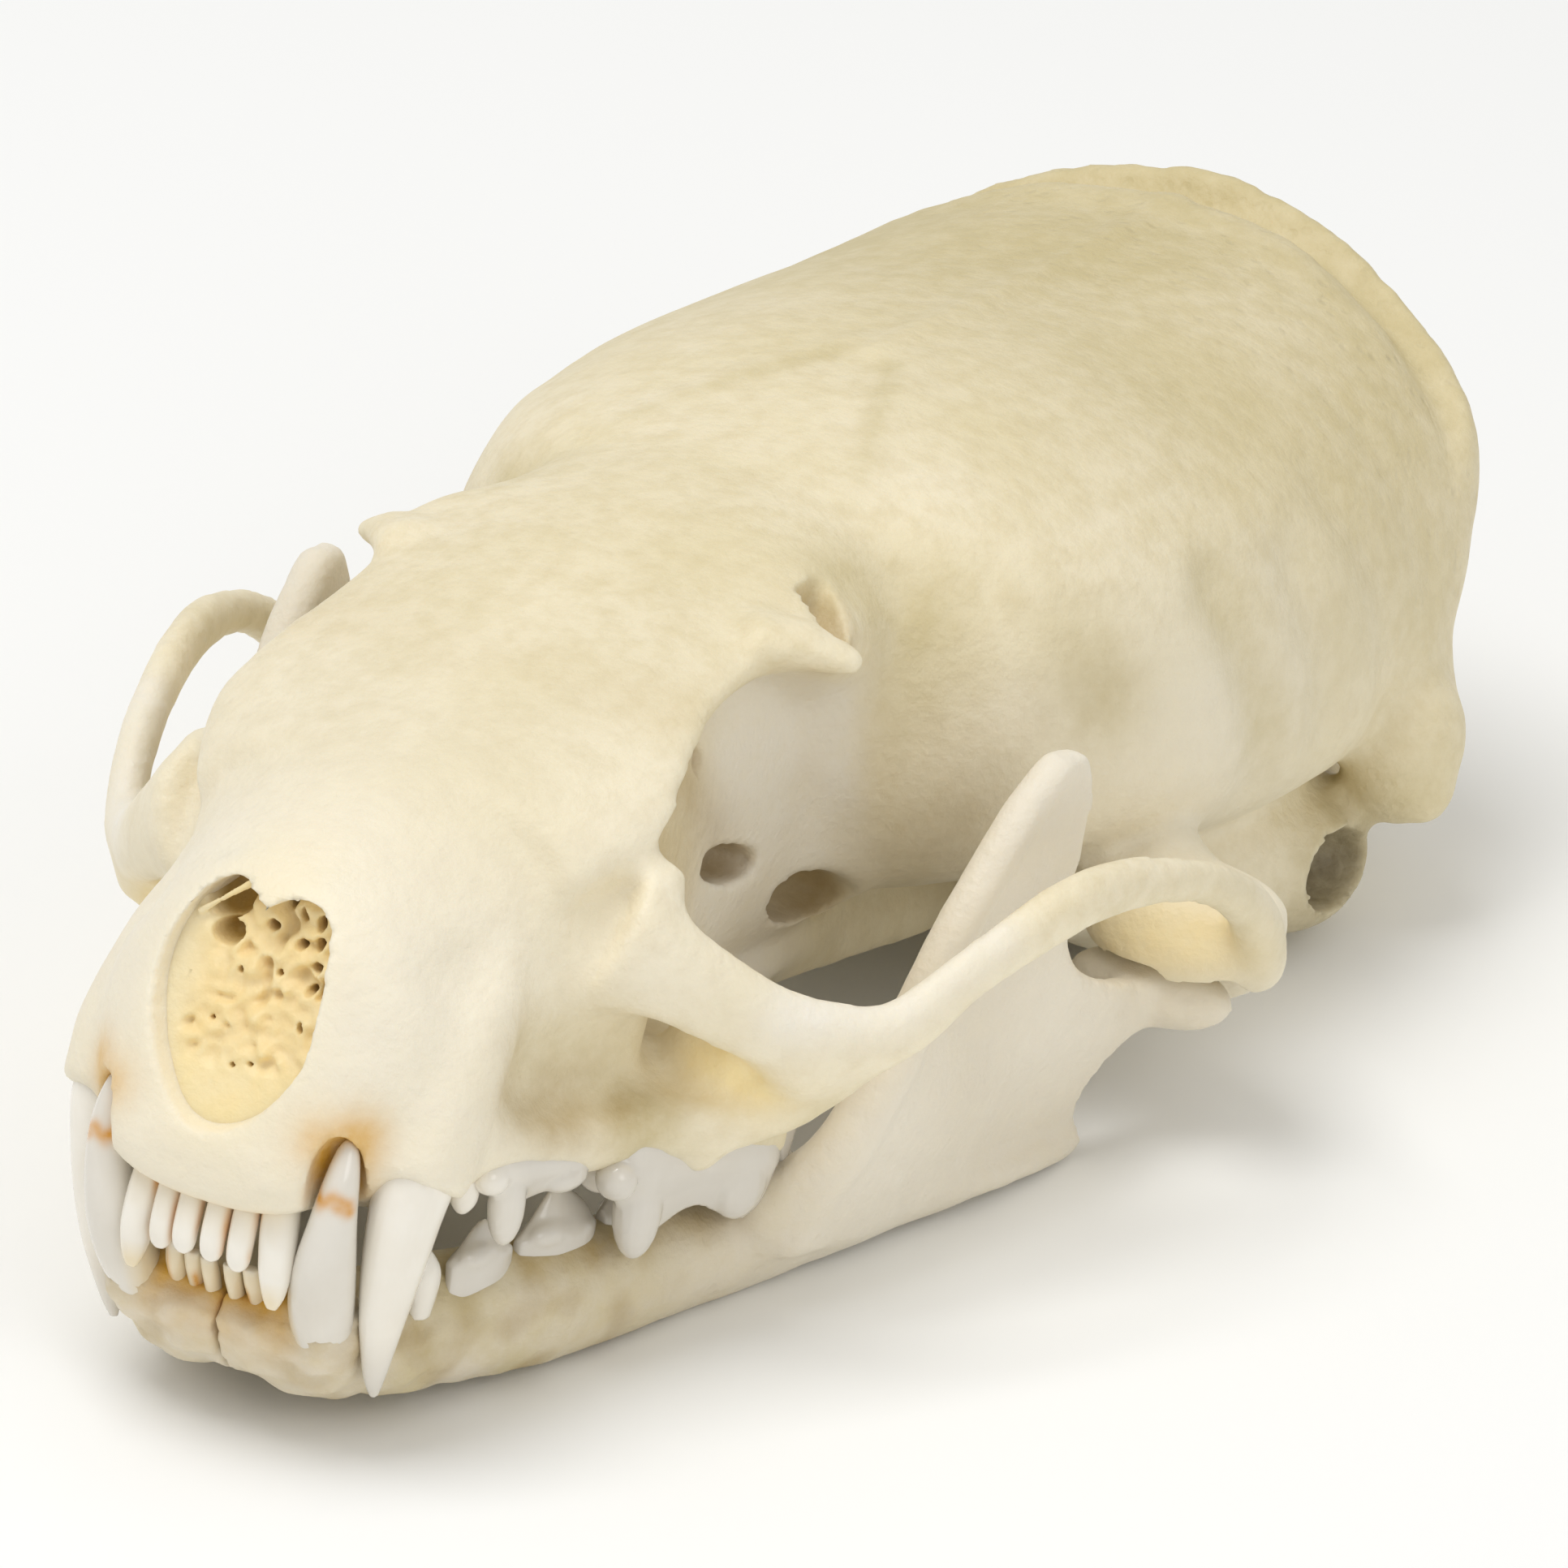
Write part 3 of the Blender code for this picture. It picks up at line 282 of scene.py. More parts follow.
# Ridges (above 0) and grooves on both sides: the path, its half width and its height
CRANIUM_RELIEF = [
    (CREST_FOOT, 0.9, 0.4),
    ([(5.6, 16.5, 10.7), (4.2, 20.0, 11.6), (2.6, 24.5, 12.4), (0.9, 29.5, 12.8)], 0.45, 0.09),
    ([(0, 29.0, 12.8), (0, 36.0, 13.0), (0, 45.0, 13.2)], 0.5, 0.16),
    ([(5.2, 19.6, 11.0), (5.6, 21.0, 10.6)], 0.9, -0.25),
    ([(9.2, 23.3, 10.5), (9.8, 23.9, 9.1), (9.6, 25.0, 7.2)], 0.9, -0.28),
    ([(9.2, 29.5, 9.0), (10.1, 31.1, 5.3), (10.2, 31.5, 3.5)], 0.9, -0.32),
    ([(9.6, 33.0, 8.5), (10.1, 34.1, 4.9)], 0.9, -0.28),
    ([(9.0, 36.0, 9.8), (10.2, 37.5, 6.0), (10.4, 38.0, 4.2)], 1.0, -0.24),
    ([(8.3, 39.0, 10.2), (9.6, 40.0, 6.5)], 0.6, -0.12),
    ([(7.5, 24.5, 10.8), (9.0, 28.0, 9.6), (9.0, 33.0, 10.3)], 1.0, 0.12),
    ([(3.8, 4.0, 5.0), (4.5, 8.0, 4.2), (5.2, 9.6, 3.4)], 0.8, -0.16),
    ([(5.3, 6.9, 2.4), (5.8, 8.8, 2.3)], 1.1, -0.3),
    ([(6.75, 11.3, -0.5)], 0.55, 0.4),
    ([(6.4, 10.1, 0.2), (6.9, 11.3, 0.35), (7.3, 12.3, -0.1)], 0.3, -0.16),
    ([(7.1, 10.6, 0.7), (7.8, 11.8, 0.6), (8.3, 12.8, 0.5)], 0.35, 0.12),
]
# The bump on the right outline and the notch in the nose opening's lower rim, on the one side alone
ONE_SIDE_RELIEF = [
    ([(-4.4, 3.5, 1.6), (-4.5, 4.1, 0.8)], 0.45, 0.3),
    ([(-0.67, 0.9, 2.1), (-0.5, 0.8, 1.5), (-0.15, 0.8, 1.45), (0.0, 0.9, 1.75)], 0.17, -0.14),
]
# The two small holes by the chin and the hollow where the jaw muscle sat, on the jaw's outer side
JAW_RELIEF = [
    ([(3.9, 3.83, -4.69)], 0.28, -0.25), ([(4.5, 5.3, -4.7)], 0.28, -0.25),
    ([(9.6, 19.3, 2.0), (9.8, 20.8, 0.0), (9.6, 22.5, -1.6)], 1.7, -0.3),
]

# Soft patches of colour on both sides of the cranium: the path, its half width and its strength. The yellowed
# ones are partly painted shade, as said at each
AGED_AND_SHADE_PATCHES = [
    # Painted shade in the groove behind the postorbital process
    ([(5.0, 19.8, 11.2), (5.8, 21.5, 9.6), (5.2, 22.0, 8.0)], 1.3, 0.75),
    ([(2, 9, 9.2), (3, 14, 10.4), (1, 20, 11.6)], 3.0, 0.3),
    ([(5.0, 18.0, 11.2), (2.6, 24.0, 12.3), (0.8, 28.5, 12.7)], 0.35, 0.4),
    # Painted shade on the cheek under the arch
    ([(5.4, 6.5, 2.4), (6.1, 9.0, 1.8), (6.2, 9.4, 0.4)], 1.2, 0.8),
    # Painted shade under the arch's root
    ([(7.6, 13.0, 0.0), (8.6, 13.2, 0.9)], 1.0, 0.7),
    ([(12.0, 19.0, 5.0), (13.2, 24.0, 3.8), (13.0, 26.5, 2.0)], 0.9, 0.5),
    # Painted shade in two of the braincase's flutes
    ([(9.2, 29.5, 9.0), (10.1, 31.1, 5.3)], 1.0, 0.35),
    ([(9.2, 23.3, 10.5), (9.6, 25.0, 7.2)], 1.3, 0.85),
]
# Painted shade, in brown: in a braincase flute, on the orbit's inner wall, in the hollow behind the canine's
# ridge and in a groove by the cheek teeth: the path, its half width and its strength
SHADE_PATCHES = [
    ([(9.3, 24.0, 9.0), (9.6, 25.0, 7.4)], 1.0, 0.25),
    ([(4.2, 13.2, 7.4), (4.2, 14.9, 6.0), (4.2, 15.6, 5.2)], 0.9, 0.35),
    ([(5.0, 6.3, 1.0), (5.3, 7.6, 0.8)], 0.6, 0.3),
    ([(6.4, 10.1, 0.2), (6.9, 11.3, 0.35), (7.3, 12.3, -0.1)], 0.25, 0.45),
]
# The painted shadow under the canine's ridge
CANINE_RIDGE_SHADOW, CANINE_RIDGE_SHADOW_WIDTH = [(5.0, 5.4, 2.4), (5.4, 7.0, 1.5), (5.9, 9.0, 0.9)], 1.0
# The infraorbital canal, yellow with painted light glowing through its thin bone
INFRAORBITAL, INFRAORBITAL_WIDTH = [(7.0, 10.8, 1.9), (7.9, 11.8, 1.4)], 0.85
# Inside the orbital fissure and the optic foramen, where shade is painted
INSIDE_FISSURE, FISSURE_WIDTH = [(3.2, 15.6, 4.5), (3.2, 17.4, 4.0)], 0.8
INSIDE_FORAMEN, FORAMEN_WIDTH = [(3.2, 19.8, 2.6), (3.2, 22.2, 1.9)], 0.9
# Inside the broken opening behind the postorbital process, where shade is painted
BROKEN_WALL, BROKEN_WALL_WIDTH = [(4.7, 18.3, 9.8), (5.6, 17.8, 9.5)], 0.6
# A painted highlight along the arch's top
ARCH_TOP_HIGHLIGHT, ARCH_TOP_HIGHLIGHT_WIDTH = [(8.9, 11.0, 3.4), (10.3, 13.4, 3.2), (11.3, 15.8, 4.6)], 0.8
# Inside the nose and at the jaw's socket, yellower with painted light glowing through thin bone
NOSE_INSIDE, NOSE_INSIDE_WIDTH = [(0, 3.5, 5.6), (0, 2.4, 4.0), (0, 1.6, 2.0)], 1.6
JAW_SOCKET, JAW_SOCKET_WIDTH = [(9.6, 25.5, 1.5), (12.0, 25.5, 2.0)], 1.1
CANINE_STAIN, CANINE_STAIN_WIDTH = [(2.4, 1.8, 0.7), (2.5, 1.5, 1.4), (3.2, 2.0, 1.6), (2.9, 2.3, 0.3)], 0.6
# Inside the ear opening, where shade is painted nearly black
EAR_INSIDE, EAR_INSIDE_WIDTH = [(8.4, 37.3, -0.7), (8.8, 38.6, -0.4)], 1.1

# The camera in the skull's frame: where it looks from in degrees, how far off, and the point it looks at
CAMERA_AZIMUTH, CAMERA_ELEVATION, CAMERA_ROLL = 27.57, 19.62, 5.84
CAMERA_DISTANCE, CAMERA_AIM = 300.0, (2.12, 22.55, 4.10)
FOCUS_PIXELS, PHOTO_PIXELS, FILM = 15786.0, 1932, 36.0
# Soft square lamps: the place and the side in metres, and the power
LAMPS = {"key": ((-0.05, -0.07, 0.29), 0.16, 0.4), "side": ((0.24, -0.14, 0.17), 0.16, 0.13)}
LAMP_AIM, FLOOR_SIZE, ROOM_LIGHT = (0, 0, 0.008), 4.0, 0.59

# The colours that the bone's marks bring, laid over each other in this order
BONE_TINTS = {
    # The pale cream also paints highlights and light, the olive yellow and the orbit's tan also paint shade,
    # the bright yellow paints light glowing through thin bone, and the brown paints shade in hollows
    "pale": "F3ECDC", "age_and_shade": "CDBE90", "orbit": "D8C69C", "thin": "F8E2AA", "hollow": "A68A4E",
    # The near black paints the shade inside holes
    "stain": "DDA93C", "hole_shade": "4A3A22",
}
# The greyer tint is painted shade on the cheek teeth, and greys the canines
ENAMEL_TINTS = {"grey_and_shade": "BFB9AF", "root": "EBD5A2", "stain": "D8961E"}


def smooth_rows(rows, steps):
    """Rows of numbers with steps - 1 rows added between each two, on a smooth curve through them all."""
    padded = [rows[0], *rows, rows[-1]]
    made = []
    for i in range(1, len(padded) - 2):
        a, b, c, d = (np.array(row, float) for row in padded[i - 1:i + 3])
        for k in range(steps):
            t = k / steps
            made.append(0.5 * (2 * b + (c - a) * t + (2 * a - 5 * b + 4 * c - d) * t * t
                               + (3 * b - a - 3 * c + d) * t ** 3))
    return made + [np.array(rows[-1], float)]


def positions(piece):
    co = np.empty(len(piece.data.vertices) * 3)
    piece.data.vertices.foreach_get("co", co)
    return co.reshape(-1, 3)


def set_positions(piece, co):
    piece.data.vertices.foreach_set("co", co.astype(np.float32).ravel())
    piece.data.update()


def normals(piece):
    made = np.empty(len(piece.data.vertices) * 3)
    piece.data.vertex_normals.foreach_get("vector", made)
    return made.reshape(-1, 3)


def only(*pieces):
    """These pieces alone are selected, the first of them active."""
    bpy.ops.object.select_all(action="DESELECT")
    for piece in pieces:
        piece.select_set(True)
    bpy.context.view_layer.objects.active = pieces[0]


def face_outwards(piece):
    only(piece)
    bpy.ops.object.mode_set(mode="EDIT")
    bpy.ops.mesh.select_all(action="SELECT")
    bpy.ops.mesh.normals_make_consistent(inside=False)
    bpy.ops.object.mode_set(mode="OBJECT")


def loft(name, rings):
    """A closed skin over rings of points: a sphere whose rings take those places."""
    grid = np.array(rings)
    count, points = grid.shape[:2]
    bpy.ops.mesh.primitive_uv_sphere_add(segments=points, ring_count=count + 1)
    piece = bpy.context.object
    piece.name = name
    co = positions(piece)
    ring = np.rint(np.arccos(np.clip(co[:, 2], -1, 1)) / math.pi * (count + 1)).astype(int)
    turn = np.rint(np.arctan2(co[:, 1], co[:, 0]) / math.tau * points).astype(int) % points
    placed = grid[np.clip(ring - 1, 0, count - 1), turn]
    placed[ring == 0] = grid[0].mean(axis=0)
    placed[ring == count + 1] = grid[-1].mean(axis=0)
    set_positions(piece, placed)
    face_outwards(piece)
    return piece


def body_section(y, half_width, z_wide, top, bottom, round_top, round_bottom, points=64):
    """A cross section of the skull's body at y, symmetric about its middle plane."""
    turn = np.arange(points) * math.tau / points
    c, s = np.cos(turn), np.sin(turn)
    power = np.where(s >= 0, round_top, round_bottom)
    reach = (np.abs(c) ** power + np.abs(s) ** power) ** (-1 / power)
    height = np.where(s >= 0, top - z_wide, z_wide - bottom)
    return np.stack([half_width * reach * c, np.full(points, y), z_wide + height * reach * s], axis=1)


def tube_rings(rows, points=20):
    """Oval rings along a run of (x, y, z, half height, half thickness)."""
    rings = []
    turn = np.arange(points) * math.tau / points
    for i, (x, y, z, half_height, half_thickness) in enumerate(rows):
        ahead = Vector(rows[min(i + 1, len(rows) - 1)][:3]) - Vector(rows[max(i - 1, 0)][:3])
        side = ahead.cross(Vector((0, 0, 1)))
        if side.length < 0.3 * ahead.length:
            side = ahead.cross(Vector((0, -1, 0)))
        side.normalize()
        up = side.cross(ahead).normalized()
        rings.append(np.array((x, y, z)) + np.outer(np.sin(turn) * half_height, up)
                     + np.outer(np.cos(turn) * half_thickness, side))
    return rings


def body(name, rows):
    return loft(name, [body_section(*row) for row in smooth_rows(rows, 5)])


def tube(name, rows):
    return loft(name, tube_rings(smooth_rows(rows, 5)))


def lump(name, centre, half_sizes, tilt=0.0, segments=32, rings=18):
    """A ball stretched to these half sizes and tilted about X by this many degrees."""
    bpy.ops.mesh.primitive_uv_sphere_add(segments=segments, ring_count=rings, location=centre,
                                         scale=half_sizes, rotation=(math.radians(tilt), 0, 0))
    bpy.context.object.name = name
    return bpy.context.object


def join(name, pieces):
    only(*pieces)
    if len(pieces) > 1:
        bpy.ops.object.join()
    made = bpy.context.object
    bpy.ops.object.transform_apply(location=True, rotation=True, scale=True)
    made.name = name
    return made


def mirror_copy(piece, name):
    """The mirror image of a piece of the left side."""
    only(piece)
    bpy.ops.object.duplicate()
    made = bpy.context.object
    made.name = name
    made.scale = (-1, 1, 1)
    bpy.ops.object.transform_apply(location=False, rotation=False, scale=True)
    face_outwards(made)
    return made


def settle(piece):
    only(piece)
    for modifier in list(piece.modifiers):
        bpy.ops.object.modifier_apply(modifier=modifier.name)


def melt(piece, voxel, rounds):
    """Turns overlapping shapes into one closed skin and softens it."""
    remesh = piece.modifiers.new("melt", "REMESH")
    remesh.mode = "VOXEL"
    remesh.voxel_size = voxel
    soften = piece.modifiers.new("soften", "SMOOTH")
    soften.factor = 0.5
    soften.iterations = rounds
    settle(piece)


def thin_out(piece, share):
    """Keeps this share of the skin's triangles, the most of them where it curves."""
    fewer = piece.modifiers.new("thin_out", "DECIMATE")
    fewer.ratio = share
    settle(piece)


def carve(piece, tools, overlapping=False):
    """Cuts these shapes from the piece; slower where they overlap each other."""
    tool = join("hollows", tools)
    cut = piece.modifiers.new("cut", "BOOLEAN")
    cut.operation = "DIFFERENCE"
    cut.solver = "EXACT"
    cut.use_self = overlapping
    cut.object = tool
    settle(piece)
    bpy.data.objects.remove(tool, do_unlink=True)


def path_distance(co, path):
    """How far each point is from a run of straight lines."""
    best = np.full(len(co), np.inf)
    path = [np.array(point, float) for point in path]
    for a, b in zip(path, path[1:] or path):
        along = b - a
        length = max(along @ along, 1e-9)
        t = np.clip((co - a) @ along / length, 0, 1)
        best = np.minimum(best, np.linalg.norm(co - a - t[:, None] * along, axis=1))
    return best


def near(co, path, width):
    """1 on the path, fading to nothing at about twice the width from it."""
    return np.exp(-(path_distance(co, path) / width) ** 2)


def waves(co, size, seed=0.0):
    """Smooth noise from -1 to 1 whose waves are about this long, in millimetres, or this long each way."""
    return np.array([noise.noise(point) for point in co / np.array(size) + seed])


def with_patches(values, co, patches):
    """The values, and on them each patch's amount, which fades with the distance from its path."""
    return sum((amount * near(co, path, width) for path, width, amount in patches), values)


def both_halves(co):
    """The points with those of the right side mirrored to the left."""
    return np.abs(co * (1, 0, 0)) + co * (0, 1, 1)


def ramp(values, low, high):
    """0 at low, 1 at high and a straight slope between."""
    return np.clip((values - low) / (high - low), 0, 1)


def neighbour_mean(piece):
    """A function that gives the mean of some values over each point's neighbours."""
    edges = np.empty(len(piece.data.edges) * 2, int)
    piece.data.edges.foreach_get("vertices", edges)
    a, b = edges.reshape(-1, 2).T
    count = len(piece.data.vertices)
    degree = np.maximum(np.bincount(a, minlength=count) + np.bincount(b, minlength=count), 1)
    return lambda values: (np.bincount(a, values[b], count) + np.bincount(b, values[a], count)) / degree


def hollowness(piece, rounds):
    """How hollow (above 0) or crested (below 0) the skin is at each point, evened out over its neighbours."""
    around = neighbour_mean(piece)
    co, out = positions(piece), normals(piece)
    centre = np.stack([around(co[:, k]) for k in range(3)], axis=1)
    made = ((centre - co) * out).sum(axis=1)
    made /= 2 * np.abs(made).mean() + 0.01
    for _ in range(rounds):
        made = 0.3 * made + 0.7 * around(made)
    return made


def even_out(piece, amounts, rounds):
    """Smooths the skin by this amount, from 0 to 1, at each point."""
    around = neighbour_mean(piece)
    co = positions(piece)
    for _ in range(rounds):
        co += 0.5 * amounts[:, None] * (np.stack([around(co[:, k]) for k in range(3)], axis=1) - co)
    set_positions(piece, co)


def mark(piece, name, values):
    """Stores one number a point, from 0 to 1, under this name."""
    attribute = piece.data.attributes.new(name, "FLOAT", "POINT")
    attribute.data.foreach_set("value", np.clip(values, 0, 1).astype(np.float32))


def linear(code):
    """An sRGB hex colour as linear light."""
    parts = [int(code[i:i + 2], 16) / 255 for i in (0, 2, 4)]
    return (*(c / 12.92 if c <= 0.04045 else ((c + 0.055) / 1.055) ** 2.4 for c in parts), 1.0)


def add(tree, kind, links=None, **settings):
    """A node with these settings, whose inputs take a value or another node's output."""
    node = tree.nodes.new(kind)
    for key, value in settings.items():
        setattr(node, key, value)
    for socket, source in (links or {}).items():
        if isinstance(source, bpy.types.NodeSocket):
            tree.links.new(source, node.inputs[socket])
        else:
            node.inputs[socket].default_value = source
    return node


FACTOR, MIX_A, MIX_B, MIX_OUT = 0, 6, 7, 2


def bone_material(name, cream, deep, wear):
    """Dry bone, dull and a little waxy: cream with faint clouds and fine tan grain, pitted where it is rough.

    Its marks make it paler, also as painted highlights and painted light; yellower, partly as painted shade;
    tan as painted shade in the orbit; yellow as painted light glowing through thin bone; brown as painted
    shade in its hollows; and nearly black inside its holes as painted shade.
    """
    made = bpy.data.materials.new(name)
    made.use_nodes = True
    tree = made.node_tree
    tree.nodes.clear()
    place = add(tree, "ShaderNodeTexCoord").outputs["Object"]
    clouds = add(tree, "ShaderNodeTexNoise", {"Vector": place, "Scale": 1 / (5 * MM), "Detail": 4.0})
    cloud = add(tree, "ShaderNodeMapRange", {"Value": clouds.outputs["Fac"], "From Min": 0.35,
                                             "From Max": 0.7})
    grain = add(tree, "ShaderNodeTexNoise", {"Vector": place, "Scale": 1 / (0.7 * MM), "Detail": 5.0,
                                             "Roughness": 0.6})
    colour = add(tree, "ShaderNodeMix", {FACTOR: cloud.outputs["Result"], MIX_A: linear(cream),
                                         MIX_B: linear(deep)}, data_type="RGBA").outputs[MIX_OUT]
    fleck = add(tree, "ShaderNodeMapRange", {"Value": grain.outputs["Fac"], "From Min": 0.42,
                                             "From Max": 0.72, "To Min": 0.0, "To Max": 0.4})
    colour = add(tree, "ShaderNodeMix", {FACTOR: fleck.outputs["Result"], MIX_A: colour,
                                         MIX_B: linear("D6C496")}, data_type="RGBA").outputs[MIX_OUT]
    for mark_name, tint in BONE_TINTS.items():
        there = add(tree, "ShaderNodeAttribute", attribute_name=mark_name)
        broken = add(tree, "ShaderNodeMath", {0: there.outputs["Fac"], 1: grain.outputs["Fac"]},
                     operation="MULTIPLY")
        patchy = add(tree, "ShaderNodeMath", {0: broken.outputs[0], 1: 0.9}, operation="MULTIPLY")
        share = add(tree, "ShaderNodeMath", {0: there.outputs["Fac"], 1: 0.55, 2: patchy.outputs[0]},
                    operation="MULTIPLY_ADD", use_clamp=True)
        colour = add(tree, "ShaderNodeMix", {FACTOR: share.outputs[0], MIX_A: colour, MIX_B: linear(tint)},
                     data_type="RGBA").outputs[MIX_OUT]
    pores = add(tree, "ShaderNodeTexVoronoi", {"Vector": place, "Scale": 1 / (0.55 * MM)})
    pore = add(tree, "ShaderNodeMapRange", {"Value": pores.outputs["Distance"], "From Min": 0.0,
                                            "From Max": 0.3, "To Min": 0.0, "To Max": 1.0})
    fine = add(tree, "ShaderNodeTexNoise", {"Vector": place, "Scale": 1 / (0.25 * MM), "Detail": 4.0})
    height = add(tree, "ShaderNodeMath", {0: grain.outputs["Fac"], 1: 1.2, 2: fine.outputs["Fac"]},
                 operation="MULTIPLY_ADD")
    rough_spots = add(tree, "ShaderNodeAttribute", attribute_name="rough")
    pitted = add(tree, "ShaderNodeMath", {0: pore.outputs["Result"], 1: rough_spots.outputs["Fac"],
                                          2: height.outputs[0]}, operation="MULTIPLY_ADD")
    bump = add(tree, "ShaderNodeBump", {"Height": pitted.outputs[0], "Strength": 0.6, "Distance": 0.07 * MM})
    shine = add(tree, "ShaderNodeMapRange", {"Value": clouds.outputs["Fac"], "To Min": wear,
                                             "To Max": wear + 0.16})
    shader = add(tree, "ShaderNodeBsdfPrincipled", {
        "Base Color": colour, "Roughness": shine.outputs["Result"], "Normal": bump.outputs["Normal"],
        "Subsurface Weight": 0.2, "Subsurface Radius": (1.0, 0.88, 0.7), "Subsurface Scale": 0.45 * MM,
        "Specular IOR Level": 0.4})
    add(tree, "ShaderNodeOutputMaterial", {"Surface": shader.outputs[0]})
    return made


def enamel_material():
    """Tooth enamel, glossy and hard: warm white with faint clouds, greyer as painted shade on the cheek teeth
    and greyer at the canines, yellower or amber at its marks.
    """
    made = bpy.data.materials.new("tooth_enamel")
    made.use_nodes = True
    tree = made.node_tree
    tree.nodes.clear()
    place = add(tree, "ShaderNodeTexCoord").outputs["Object"]
    clouds = add(tree, "ShaderNodeTexNoise", {"Vector": place, "Scale": 1 / (1.5 * MM), "Detail": 3.0})
    colour = add(tree, "ShaderNodeMix", {FACTOR: clouds.outputs["Fac"], MIX_A: linear("FDF9EF"),
                                         MIX_B: linear("EBE3D3")}, data_type="RGBA").outputs[MIX_OUT]
    for mark_name, tint in ENAMEL_TINTS.items():
        there = add(tree, "ShaderNodeAttribute", attribute_name=mark_name)
        colour = add(tree, "ShaderNodeMix", {FACTOR: there.outputs["Fac"], MIX_A: colour,
                                             MIX_B: linear(tint)}, data_type="RGBA").outputs[MIX_OUT]
    ripple = add(tree, "ShaderNodeTexNoise", {"Vector": place, "Scale": 1 / (0.5 * MM), "Detail": 2.0})
    bump = add(tree, "ShaderNodeBump", {"Height": ripple.outputs["Fac"], "Strength": 0.15,
                                        "Distance": 0.03 * MM})
    shader = add(tree, "ShaderNodeBsdfPrincipled", {
        "Base Color": colour, "Roughness": 0.13, "Normal": bump.outputs["Normal"], "Subsurface Weight": 0.08,
        "Subsurface Radius": (1.0, 0.9, 0.8), "Subsurface Scale": 0.3 * MM, "Specular IOR Level": 0.7})
    add(tree, "ShaderNodeOutputMaterial", {"Surface": shader.outputs[0]})
    return made


def nose_section(depth, size):
    """The nose opening's outline at this depth behind the face, scaled about its middle."""
    outline = smooth_rows(NOSE_OPENING + NOSE_OPENING[:1], 3)[:-1]
    return [(x * size, depth + NOSE_LEAN * (z - NOSE_MIDDLE), NOSE_MIDDLE + (z - NOSE_MIDDLE) * size)
            for x, z in outline]


def fill_face(z):
    """How far back the spongy bone's face is at this height."""
    return NOSE_FILL + NOSE_FILL_LEAN * (z - NOSE_MIDDLE)


def spongy_share(co):
    """1 where the bone in the nose is spongy, 0 in the plain strip low down and on the right."""
    return ramp(co[:, 2], 2.1, 2.9) * ramp(co[:, 0], -1.9, -1.2)


def build_nose_fill():
    """The spongy bone that fills the nose: a lumpy face with small holes, browner deeper in as painted shade,
    and a thin strut.
    """
    rings = []
    for size, behind in ((0.3, 0.0), (0.7, 0.0), (1.0, 0.0), (1.06, 0.1), (1.06, 1.5), (0.5, 1.6)):
        rings.append([(x, fill_face(z) + behind, z) for x, _, z in nose_section(0, size)])
    fill = join("nose_fill", [loft("nose_fill", rings)])
    melt(fill, SPONGE_GRAIN[0], 3)
    co = positions(fill)
    lumps = (0.2 * waves(co, 0.7) + 0.2 * waves(co, 0.3, 4.0)
             - 0.35 * ramp(waves(co, 0.42, 9.0), 0.2, 0.55))
    co[:, 1] -= spongy_share(co) * lumps + 0.05 * waves(co, 1.6, 2.0)
    set_positions(fill, co)
    holes = [lump("hole", (x, fill_face(z), z), (wide, 0.9, high), 0, 14, 8)
             for x, z, wide, high in NOSE_HOLES]
    carve(fill, holes, overlapping=True)
    fill = join("nose_fill", [fill, tube("strut", NOSE_STRUT)])
    melt(fill, SPONGE_GRAIN[1], 1)
    co = positions(fill)
    behind_face = co[:, 1] - fill_face(co[:, 2])
    # Yellower as painted light glowing through the thin spongy bone, less on the right
    mark(fill, "thin", 0.8 - 0.5 * ramp(co[:, 0], -1.3, -2.0))
    mark(fill, "stain", 0.16 * spongy_share(co))
    # Painted shade: browner the further behind the face, and in the spongy bone's pits
    mark(fill, "hollow", ramp(behind_face, 0.12, 0.7)
         + 0.5 * ramp(hollowness(fill, 3), 0.3, 2.0) * spongy_share(co))
    return fill


def both_sides(name, build):
    """What build makes on the left, and its mirror image."""
    left = build(name)
    only(left)
    bpy.ops.object.transform_apply(location=True, rotation=True, scale=True)
    return [left, mirror_copy(left, name + "_right")]


def cranium_hollows():
    """The nose, the foramina and the other round hollows, none of which meets another."""
    hollows = [loft("nose", [nose_section(depth, size) for depth, size in (
        (-1.5, 1.0), (0.3, 1.0), (0.9, 0.97), (NOSE_DEPTH, 0.85))])]
    for shape in MIDDLE_HOLLOWS.values():
        hollows.append(lump("hollow", *shape))
    for shape in CRANIUM_HOLLOWS.values():
        hollows += both_sides("hollow", lambda name, shape=shape: lump(name, *shape))
    return hollows


def jaw_joint_hollows():
    """The two round sockets for the jaw, and the two notches that its neck swings in."""
    sockets, notches = [], []
    low, high = (Vector(corner) for corner in JAW_NECK_NOTCH)
    middle = (low + high) / 2
    for side in (1, -1):
        bpy.ops.mesh.primitive_cylinder_add(
            vertices=36, radius=CONDYLE_RADIUS + SOCKET_GAP,
            depth=CONDYLE_OUTER - CONDYLE_INNER + SOCKET_EXTRA_WIDTH,
            location=(side * CONDYLE_MIDDLE, HINGE_Y, HINGE_Z), rotation=(0, math.pi / 2, 0))
        sockets.append(bpy.context.object)
        bpy.ops.mesh.primitive_cube_add(size=1, location=(side * middle.x, middle.y, middle.z),
                                        scale=high - low)
        notches.append(bpy.context.object)
    return sockets, notches


